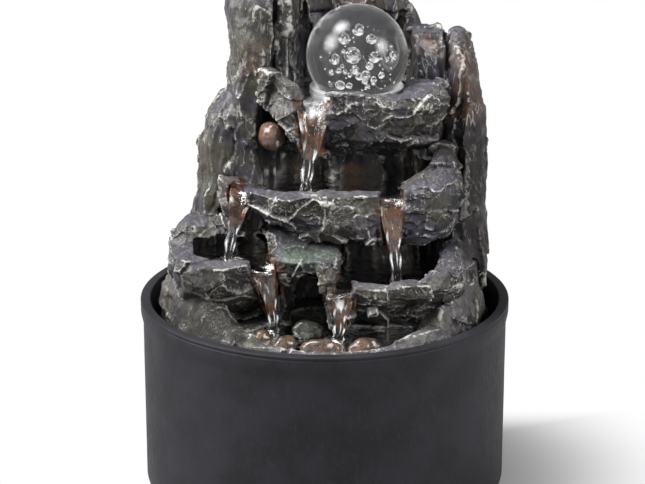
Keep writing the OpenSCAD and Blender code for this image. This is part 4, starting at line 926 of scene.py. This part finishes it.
def pool(name, middle, reach, splashes, rings=26, count=150):
    """Water filling a pool out to its shore: rings of points from the middle outward, on a
    top that ripples in circles round where the streams fall in, and a flat underside.  Each
    splash is (x, y, height)."""
    middle = np.array(middle) * MM
    turns = np.linspace(0.0, 2.0 * math.pi, count, endpoint=False)
    radii = shore_radii(middle, turns, reach * MM)
    for _ in range(2):
        radii = (np.roll(radii, 1) + radii + np.roll(radii, -1)) / 3.0
    radii = radii + SHORE_LAP
    share = np.linspace(0.0, 1.0, rings)
    r = share[:, None] * radii
    x, y = middle[0] + r * np.cos(turns), middle[1] + r * np.sin(turns)
    z = np.full_like(x, middle[2])
    for sx, sy, height in splashes:
        far = np.hypot(x - sx * MM, y - sy * MM)
        z = z + height * MM * np.exp(-far / (8 * MM)) * np.cos(far * 2 * math.pi / RIPPLE_LONG)
    flat = np.stack([x, y, np.zeros_like(x)], axis=-1).reshape(-1, 3)
    z = z + (lattice_noise(flat, 6 * MM, 91).reshape(z.shape) * 0.25 * MM) * (1 - share[:, None] ** 8)
    top = np.stack([x, y, z], axis=-1)
    under = np.stack([x, y, np.full_like(z, middle[2] - POOL_DEEP)], axis=-1)[::-1]
    points = np.concatenate([top, under]).reshape(-1, 3)
    faces = grid_faces(2 * rings, count, close_columns=True)
    add_piece(name, points, faces, STILL, "rock")


# Each thread of foam and painted highlight: its place across the ribbon, how far and how often it sways, its
# width and its weight
FOAM_AND_HIGHLIGHT_THREADS = [(-0.86, 0.10, 11.0, 0.14, 0.9), (0.84, 0.12, 8.0, 0.12, 0.8), (0.10, 0.40, 6.0, 0.12, 0.7)]


def ribbon(name, knots, finish, slot_name, lobed, glance=0.3, bright=0.0, count=140, around=64):
    """A ribbon along a smooth line.  Each knot is (x, y, z, half width, half thickness, sag) in millimetres.
    The section is an ellipse whose edges are raised over its middle by sag times the square of the way
    across, and has turning lobes where lobed is not 0.  Foam and painted highlights run down it in three
    wandering threads, with a painted highlight glance of the way along."""
    line = drawn_through(np.array(knots, float) * MM, count)
    spine = line[:, :3]
    ahead = np.gradient(spine, axis=0)
    ahead /= np.linalg.norm(ahead, axis=1, keepdims=True)
    wide = np.cross(ahead, [0.0, -1.0, 0.25])
    wide /= np.linalg.norm(wide, axis=1, keepdims=True)
    thick = np.cross(wide, ahead)
    a = np.linspace(0.0, 2.0 * math.pi, around, endpoint=False)
    along = np.linspace(0.0, 1.0, count)[:, None]
    lobes = 1.0 + lobed * (0.16 * np.cos(3.0 * a + 7.0 * along) + 0.08 * np.sin(5.0 * a - 23.0 * along))
    lobes = lobes * (1.0 + 0.10 * lobed * np.sin(31.0 * along + 2.0))
    across = (np.cos(a) * lobes * line[:, 3:4])[..., None] * wide[:, None]
    deep = (np.sin(a) * lobes * line[:, 4:5] + np.cos(a) ** 2 * line[:, 5:6])[..., None] * thick[:, None]
    body = spine[:, None] + across + deep
    middle = np.repeat(body[[0, -1]].mean(axis=1)[:, None], around, axis=1)
    points = np.concatenate([middle[:1], body, middle[1:]]).reshape(-1, 3)
    side = np.cos(a) + 0.0 * along
    foam_and_highlight = 0.0
    for place, sway, swing, width, weight in FOAM_AND_HIGHLIGHT_THREADS:
        middle_line = place + sway * np.sin(swing * along + 4.0 * place)
        pulse = 0.75 + 0.45 * np.sin(3.0 * swing * along + place)
        foam_and_highlight = foam_and_highlight + weight * pulse * np.exp(-((side - middle_line) / width) ** 2)
    foam_and_highlight = foam_and_highlight * (0.10 + 0.90 * smooth_step(along * 3.2 - 1.2))
    # A painted highlight: a pale patch where the water slides over the bend.
    foam_and_highlight = foam_and_highlight + bright * np.exp(-((along - glance) / 0.12) ** 2 - ((side - 0.10) / 0.75) ** 2)
    foam_and_highlight = np.concatenate([foam_and_highlight[:1], foam_and_highlight, foam_and_highlight[-1:]]).ravel()
    faces = grid_faces(count + 2, around, close_columns=True)
    add_piece(name, points, faces, finish, "rock", painted={"foam_and_highlight": foam_and_highlight})


pool("upper_pool_water", (-18, 22, 239.5), 30, [(-4, 8, 0.2)])
pool("middle_pool_water", (8, -12, 190.0), 62, [(-11, -18, 0.9)])
pool("left_pool_water", (-54, -24, 150.5), 34, [(-56, -33, 0.9)])
pool("right_pool_water", (36, -36, 141.7), 52, [(41, -43, 0.9)])
pool("front_pool_water", (0, -66, 115.0), 60, [(-27, -46, 0.9), (8, -63, 0.9)])

# Each chute: its bed from the pool to the lip, then the water that slides over it and falls
CHUTE_RUNS = {
    "upper": (
        [(-6, 2, 238.4, 8, 1, 1.0), (-6, -4, 237.6, 10, 1, 2.2), (-6.4, -10.4, 233, 9.8, 1, 3.2),
         (-7, -15.4, 226, 7.6, 1, 3.0), (-7.6, -18, 216.5, 5.2, 1, 2.0), (-8, -18.8, 208, 3.4, 1, 1.2)],
        [(-6, 4, 239.4, 6.5, 0.4, 0.6), (-6, -4.4, 238.8, 6.5, 0.5, 1.2), (-6.4, -11.6, 234, 5.8, 0.6, 1.8),
         (-7.2, -16.8, 226.4, 4.6, 0.8, 1.6), (-8.2, -19.6, 216, 3.6, 0.9, 0.6),
         (-9.4, -20.8, 206, 3.2, 1.2, 0), (-10.4, -21.4, 197, 3.0, 1.4, 0),
         (-10.8, -21.6, 189.3, 3.2, 1.5, 0)]),
    "middle_left": (
        [(-46, -8, 189.2, 7, 1, 1.0), (-47.4, -20, 188.8, 8, 1, 2.4), (-49, -27, 185.4, 6.6, 1, 2.6),
         (-50.6, -30.4, 178, 4.6, 1, 2.0), (-51.6, -31.4, 171, 3.2, 1, 1.0)],
        [(-48, -8, 190.3, 4.2, 0.4, 0.4), (-49, -22, 189.8, 4.2, 0.5, 1.0),
         (-50.2, -27.8, 185, 3.6, 0.6, 1.2), (-51.4, -30.6, 178, 3.0, 0.8, 0.6),
         (-53, -32.4, 169, 2.8, 1.2, 0), (-54.8, -33.6, 160, 2.7, 1.4, 0), (-55.8, -34, 150, 2.9, 1.4, 0)]),
    "middle_right": (
        [(38, -22, 188.4, 7, 1, 1.0), (38, -36, 188, 8, 1, 2.0), (38.2, -40.4, 183, 7, 1, 2.6),
         (38.8, -42, 174, 5.2, 1, 2.0), (39.6, -42.8, 166, 3.8, 1, 1.4), (40, -43, 160, 3, 1, 1.0)],
        [(38, -20, 190.3, 6, 0.4, 0.4), (38, -36, 189.6, 6, 0.5, 1.0), (38.2, -41, 184, 5, 0.6, 1.4),
         (38.9, -43, 174, 4, 0.8, 1.0), (39.9, -44.4, 164, 3.2, 1.0, 0.3), (41, -45.4, 154, 2.9, 1.3, 0),
         (41.8, -46, 141.0, 3.0, 1.4, 0)]),
    "left": (
        [(-38, -30, 149.4, 6, 1, 1.0), (-36, -42, 149, 7.4, 1, 2.0), (-34.6, -46, 145.6, 6.4, 1, 2.6),
         (-32.8, -47.4, 138, 4.4, 1, 1.8), (-31.4, -48, 130, 3.2, 1, 1.2), (-30.8, -48.2, 124, 2.6, 1, 0.8)],
        [(-38, -28, 150.8, 5.2, 0.4, 0.4), (-36, -42, 150.4, 5.4, 0.5, 1.0),
         (-34.4, -46.8, 146.2, 4.6, 0.6, 1.4), (-32.4, -48.4, 138, 3.4, 0.8, 1.0),
         (-30.8, -49.6, 129, 2.8, 1.1, 0.2), (-29.6, -50.4, 121, 2.7, 1.3, 0),
         (-29.2, -50.8, 114.4, 2.9, 1.4, 0)]),
    "right": (
        [(11, -48, 140.6, 6, 1, 1.0), (10.4, -59, 140, 7, 1, 2.0), (9.8, -62.6, 136, 6, 1, 2.4),
         (9.2, -64, 129, 4.2, 1, 1.8), (9, -64.6, 121, 3, 1, 1.0)],
        [(11, -46, 141.9, 5.2, 0.4, 0.4), (10.4, -59, 141.4, 5.2, 0.5, 1.0),
         (9.6, -63.4, 136.6, 4.4, 0.6, 1.2), (8.8, -65.2, 129, 3.4, 0.8, 0.8),
         (8.2, -66.4, 121, 3.0, 1.1, 0.2), (8, -67, 114.4, 3.2, 1.3, 0)]),
}
# How far down each stream its painted highlight lies, and how strong it is
GLANCES = {"upper": (0.28, 0.68), "middle_left": (0.42, 0.4), "middle_right": (0.46, 0.3),
           "left": (0.46, 0.4), "right": (0.45, 0.9)}
for chute, (bed, water) in CHUTE_RUNS.items():
    ribbon(chute + "_chute_bed", bed, WET_BED, "rock", 0.15)
    ribbon(chute + "_stream", water, RUNNING, "clear", 1.0, *GLANCES[chute])


# --- Clear ball and its ring ------------------------------------------------------------
# A polished clear ball, cast full of air bubbles, turns on a film of water in a ring turned
# from clear acrylic, which is glued into the rock over the lamp.

RING = np.array(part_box("ball_ring"))
RING_R = (RING[1, 0] - RING[0, 0]) / 2
RING_WIDE = 3.8 * MM
RING_SOFT = 0.6 * MM
BALL_IOR = 1.42


def round_shells(middles, radii, rings=24, count=40):
    """Spheres: rings of points from pole to pole round each middle, where a ring lies at
    cos(polar) along Z and is sin(polar) wide.  Also gives each point's height on its own
    sphere, from 1 to -1."""
    polar = np.linspace(0.0, math.pi, rings)[:, None]
    turn = np.linspace(0.0, 2.0 * math.pi, count, endpoint=False)[None, :]
    shell = np.stack([np.sin(polar) * np.cos(turn), np.sin(polar) * np.sin(turn),
                      np.cos(polar) + 0.0 * turn], axis=-1).reshape(-1, 3)
    points = np.asarray(middles)[:, None] + np.asarray(radii)[:, None, None] * shell[None]
    faces = grid_faces(rings, count, close_columns=True)[:, ::-1]
    faces = faces[None] + (np.arange(len(radii)) * len(shell))[:, None, None]
    return points.reshape(-1, 3), faces.reshape(-1, 4), np.tile(shell[:, 2], len(radii))


def clear_finish(name, tint, ior, haze=0.0, rough=0.0, sheen=0.0, lit=False):
    """A polished clear material with the faintest waviness and a share of milky haze.  If it is lit, it glows
    instead where its points are painted lit: painted light, standing in for the lamp's light."""
    f = Finish(name)
    wave = f.bump(f.noise(14.0, 1.0), 0.02)
    clear = f.principled(Base_Color=tint, Roughness=rough, IOR=ior, Transmission_Weight=1.0,
                         Sheen_Weight=sheen, Sheen_Roughness=0.25, Normal=wave)
    milk = f.principled(Base_Color=(0.93, 0.94, 0.95), Roughness=0.3)
    if lit:
        glow = f.mix(f.paint("lit"), (0.0, 0.0, 0.0), (1.0, 1.0, 1.0))
        milk = f.node("ShaderNodeEmission", {}, {"Color": glow, "Strength": 1.0})
        haze = f.range(f.paint("lit"), 0.0, 0.65, 0.0, 0.95)
    return f.end(f.either(haze, clear, milk))


CLEAR_BALL = clear_finish("clear ball", (0.97, 0.98, 0.99), BALL_IOR, 0.02, 0.0, 0.6)
ball_points, ball_faces, _ = round_shells([BALL_MID], [BALL_R], 100, 180)
ball = add_piece("polished_ball", ball_points, ball_faces, CLEAR_BALL, "ball")
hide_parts("crystal_ball")

# The larger bubbles: right of the ball's middle, above it, in front of it, and radius, in mm,
# seen from the front and a little above
BUBBLES = np.array([
    (0.6, 11.6, 8, 3.4), (-6.2, 9.4, 4, 3.1), (6.8, 8.8, 10, 2.8), (-2.2, 0.7, 12, 4.4),
    (-10.8, -0.4, 4, 3.0), (8.2, 0.7, 2, 3.0), (6.0, -4.0, 8, 2.3), (18.0, 1.4, 6, 2.5),
    (-7.0, 2.4, 14, 1.3), (-7.4, -4.6, 10, 1.2), (-13.2, -7.4, 6, 1.8), (-9.4, -7.0, 12, 1.7),
    (-5.8, -6.4, 2, 1.5), (-1.4, -6.8, 16, 2.4), (1.0, -10.0, 14, 2.2), (4.0, -8.8, 8, 2.6),
    (3.8, -12.4, 12, 1.8), (8.2, -10.8, 6, 1.8), (8.2, -13.6, 12, 1.5), (12.2, -9.0, 8, 2.0),
    (-8.8, -14.6, 10, 2.9), (-4.2, -15.2, 14, 2.0), (4.8, -15.0, 10, 1.3), (15.0, -1.0, 10, 1.3),
    (-3.8, -8.8, 8, 1.4)])
SMALL_BUBBLES = 60
SMALL_REACH = 24
RIGHT = np.array([1.0, 0.0, 0.0])
ABOVE = np.array([0.0, math.sin(EYE_RAISED), math.cos(EYE_RAISED)])


def bubbles():
    """The larger bubbles and the small ones, at random places.  The ball magnifies what is
    inside it, so their places across the view are drawn in towards its middle."""
    rng = np.random.default_rng(27)
    turn = rng.uniform(0, 2 * math.pi, SMALL_BUBBLES)
    far = rng.uniform(0.2, 0.8, SMALL_BUBBLES) ** 0.6 * SMALL_REACH
    small = np.stack([far * np.cos(turn) + 2.0, 0.8 * far * np.sin(turn) - 2.0,
                      rng.uniform(-4, 12, SMALL_BUBBLES), rng.uniform(0.3, 0.8, SMALL_BUBBLES)], axis=1)
    spots = np.concatenate([BUBBLES, small])
    spots[:, 1] -= np.where(spots[:, 1] < 10.0, 1.9, 0.0)
    swell = 1.13 - 0.32 * spots[:, 2] / 30.0
    middles = (spots[:, :1] * RIGHT + spots[:, 1:2] * ABOVE) / swell[:, None] + spots[:, 2:3] * TO_EYE
    return round_shells(BALL_MID + middles * MM, 0.95 * spots[:, 3] / swell * MM, 16, 24)


# Painted light: the bubbles' undersides glow in broken patches, standing in for the lamp's light from below
bubble_points, bubble_faces, raised = bubbles()
lit = smooth_step((lattice_noise(bubble_points, 1.3 * MM, 33) - raised + 0.35) / 1.6)
add_piece("ball_bubbles", bubble_points, bubble_faces,
          clear_finish("air in the ball", (1.0, 1.0, 1.0), 1 / BALL_IOR, lit=True),
          "ball", painted={"lit": lit})


def turned(profile, count=160):
    """A closed profile of (radius, height) turned about the ball's upright axis."""
    radius, height = np.asarray(profile).T
    turn = np.linspace(0.0, 2.0 * math.pi, count, endpoint=False)[:, None]
    x, y = BALL_MID[0] + radius * np.cos(turn), BALL_MID[1] + radius * np.sin(turn)
    points = np.stack([x, y, height + 0.0 * turn], axis=-1).reshape(-1, 3)
    return points, grid_faces(count, len(profile), close_rows=True, close_columns=True)


def ring_profile():
    """The ring's section: upright walls and flat ends, with a quarter round at each corner."""
    outer, inner = RING_R - RING_SOFT, RING_R - RING_WIDE + RING_SOFT
    low, high = RING[0, 2] + RING_SOFT, RING[1, 2] - RING_SOFT
    parts = []
    for x, z, start in ((outer, low, -90), (outer, high, 0), (inner, high, 90), (inner, low, 180)):
        turn = np.radians(np.linspace(start, start + 90, 7))
        parts.append(np.stack([x + RING_SOFT * np.cos(turn), z + RING_SOFT * np.sin(turn)], axis=1))
    return np.concatenate(parts)


CLEAR_ACRYLIC = clear_finish("clear acrylic", (0.97, 0.98, 0.98), 1.45, 0.48, 0.06)
ring_points, ring_faces = turned(ring_profile())
ring = add_piece("clear_ring", ring_points, ring_faces, CLEAR_ACRYLIC, "rock")
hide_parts("ball_ring")


# --- Pump, lamp, tube and feet ----------------------------------------------------------
# Plastic mouldings round a ceramic shaft and a ferrite magnet, in the CAD's own shapes.
# The pump is pressed on to the bowl's floor by its rubber cups, and the lamp, a sealed
# board under a frosted lens, sits in the well under the ball.

def moulded(name, dark, pale, rough, grain=1.4, depth=0.04, clear=0.0):
    """A moulded or pressed part: two close tones in clouds, and a fine surface grain.  Clear
    is the share of light that passes through it."""
    f = Finish(name)
    cloud = f.noise(7.0, 3.0, 0.6)
    speck = f.noise(grain, 3.0, 0.6)
    colour = f.tones(cloud + speck * 0.5, 0.6, 0.9, dark, pale)
    return f.surface(Base_Color=colour, Roughness=f.range(speck, 0.3, 0.7, rough, rough + 0.12),
                     Transmission_Weight=clear, Normal=f.bump(speck, depth))


def board_finish():
    """Green solder mask over copper tracks, seen as faint straight lines both ways."""
    f = Finish("lamp board")
    across, along = [f.node("ShaderNodeTexWave", {"wave_type": "BANDS", "bands_direction": way}, {
        "Vector": f.place(), "Scale": 0.35, "Distortion": 1.5, "Detail": 1.0}, "Fac") for way in "XY"]
    line = f.range(across.most(along), 0.80, 0.88)
    colour = f.mix(line, (0.012, 0.075, 0.030), (0.030, 0.14, 0.050))
    return f.surface(Base_Color=colour, Roughness=0.35, Normal=f.bump(line, 0.03))


NODE_FINISHES = {
    "foot_pads": moulded("foot rubber", (0.016, 0.016, 0.017), (0.030, 0.030, 0.031), 0.72, 0.9, 0.08),
    "pump_housing": moulded("pump plastic", (0.012, 0.013, 0.015), (0.024, 0.025, 0.028), 0.34),
    "chamber_cover": moulded("cover plastic", (0.014, 0.015, 0.017), (0.028, 0.029, 0.032), 0.30),
    "strainer_cover": moulded("strainer plastic", (0.012, 0.013, 0.015), (0.026, 0.027, 0.030), 0.36),
    "suction_cups": moulded("cup silicone", (0.030, 0.032, 0.034), (0.060, 0.062, 0.066), 0.28, 2.4, 0.03),
    "flow_dial": moulded("dial plastic", (0.045, 0.047, 0.050), (0.075, 0.077, 0.082), 0.40),
    "impeller": moulded("impeller plastic", (0.50, 0.50, 0.47), (0.66, 0.66, 0.62), 0.32),
    "rotor_magnet": moulded("ferrite", (0.026, 0.025, 0.026), (0.052, 0.050, 0.052), 0.42, 0.7, 0.05),
    "impeller_shaft": moulded("ceramic shaft", (0.78, 0.77, 0.74), (0.86, 0.86, 0.84), 0.12, 0.6, 0.01),
    "shaft_bushes": moulded("bush rubber", (0.020, 0.020, 0.021), (0.036, 0.036, 0.037), 0.60, 0.8, 0.05),
    "riser_tube": moulded("clear vinyl", (0.80, 0.84, 0.85), (0.90, 0.93, 0.94), 0.14, 3.0, 0.04, clear=0.85),
    "lamp_case": moulded("lamp plastic", (0.014, 0.014, 0.016), (0.028, 0.028, 0.031), 0.36),
    "lamp_board": board_finish(),
    "lamp_leds": moulded("lamp phosphor", (0.72, 0.60, 0.16), (0.86, 0.76, 0.28), 0.30, 0.5, 0.02),
    "lamp_lens": moulded("frosted lens", (0.84, 0.86, 0.86), (0.93, 0.94, 0.94), 0.42, 0.6, 0.03, clear=0.8),
}
for node, finish in NODE_FINISHES.items():
    nodes[node].data.materials.clear()
    nodes[node].data.materials.append(finish)
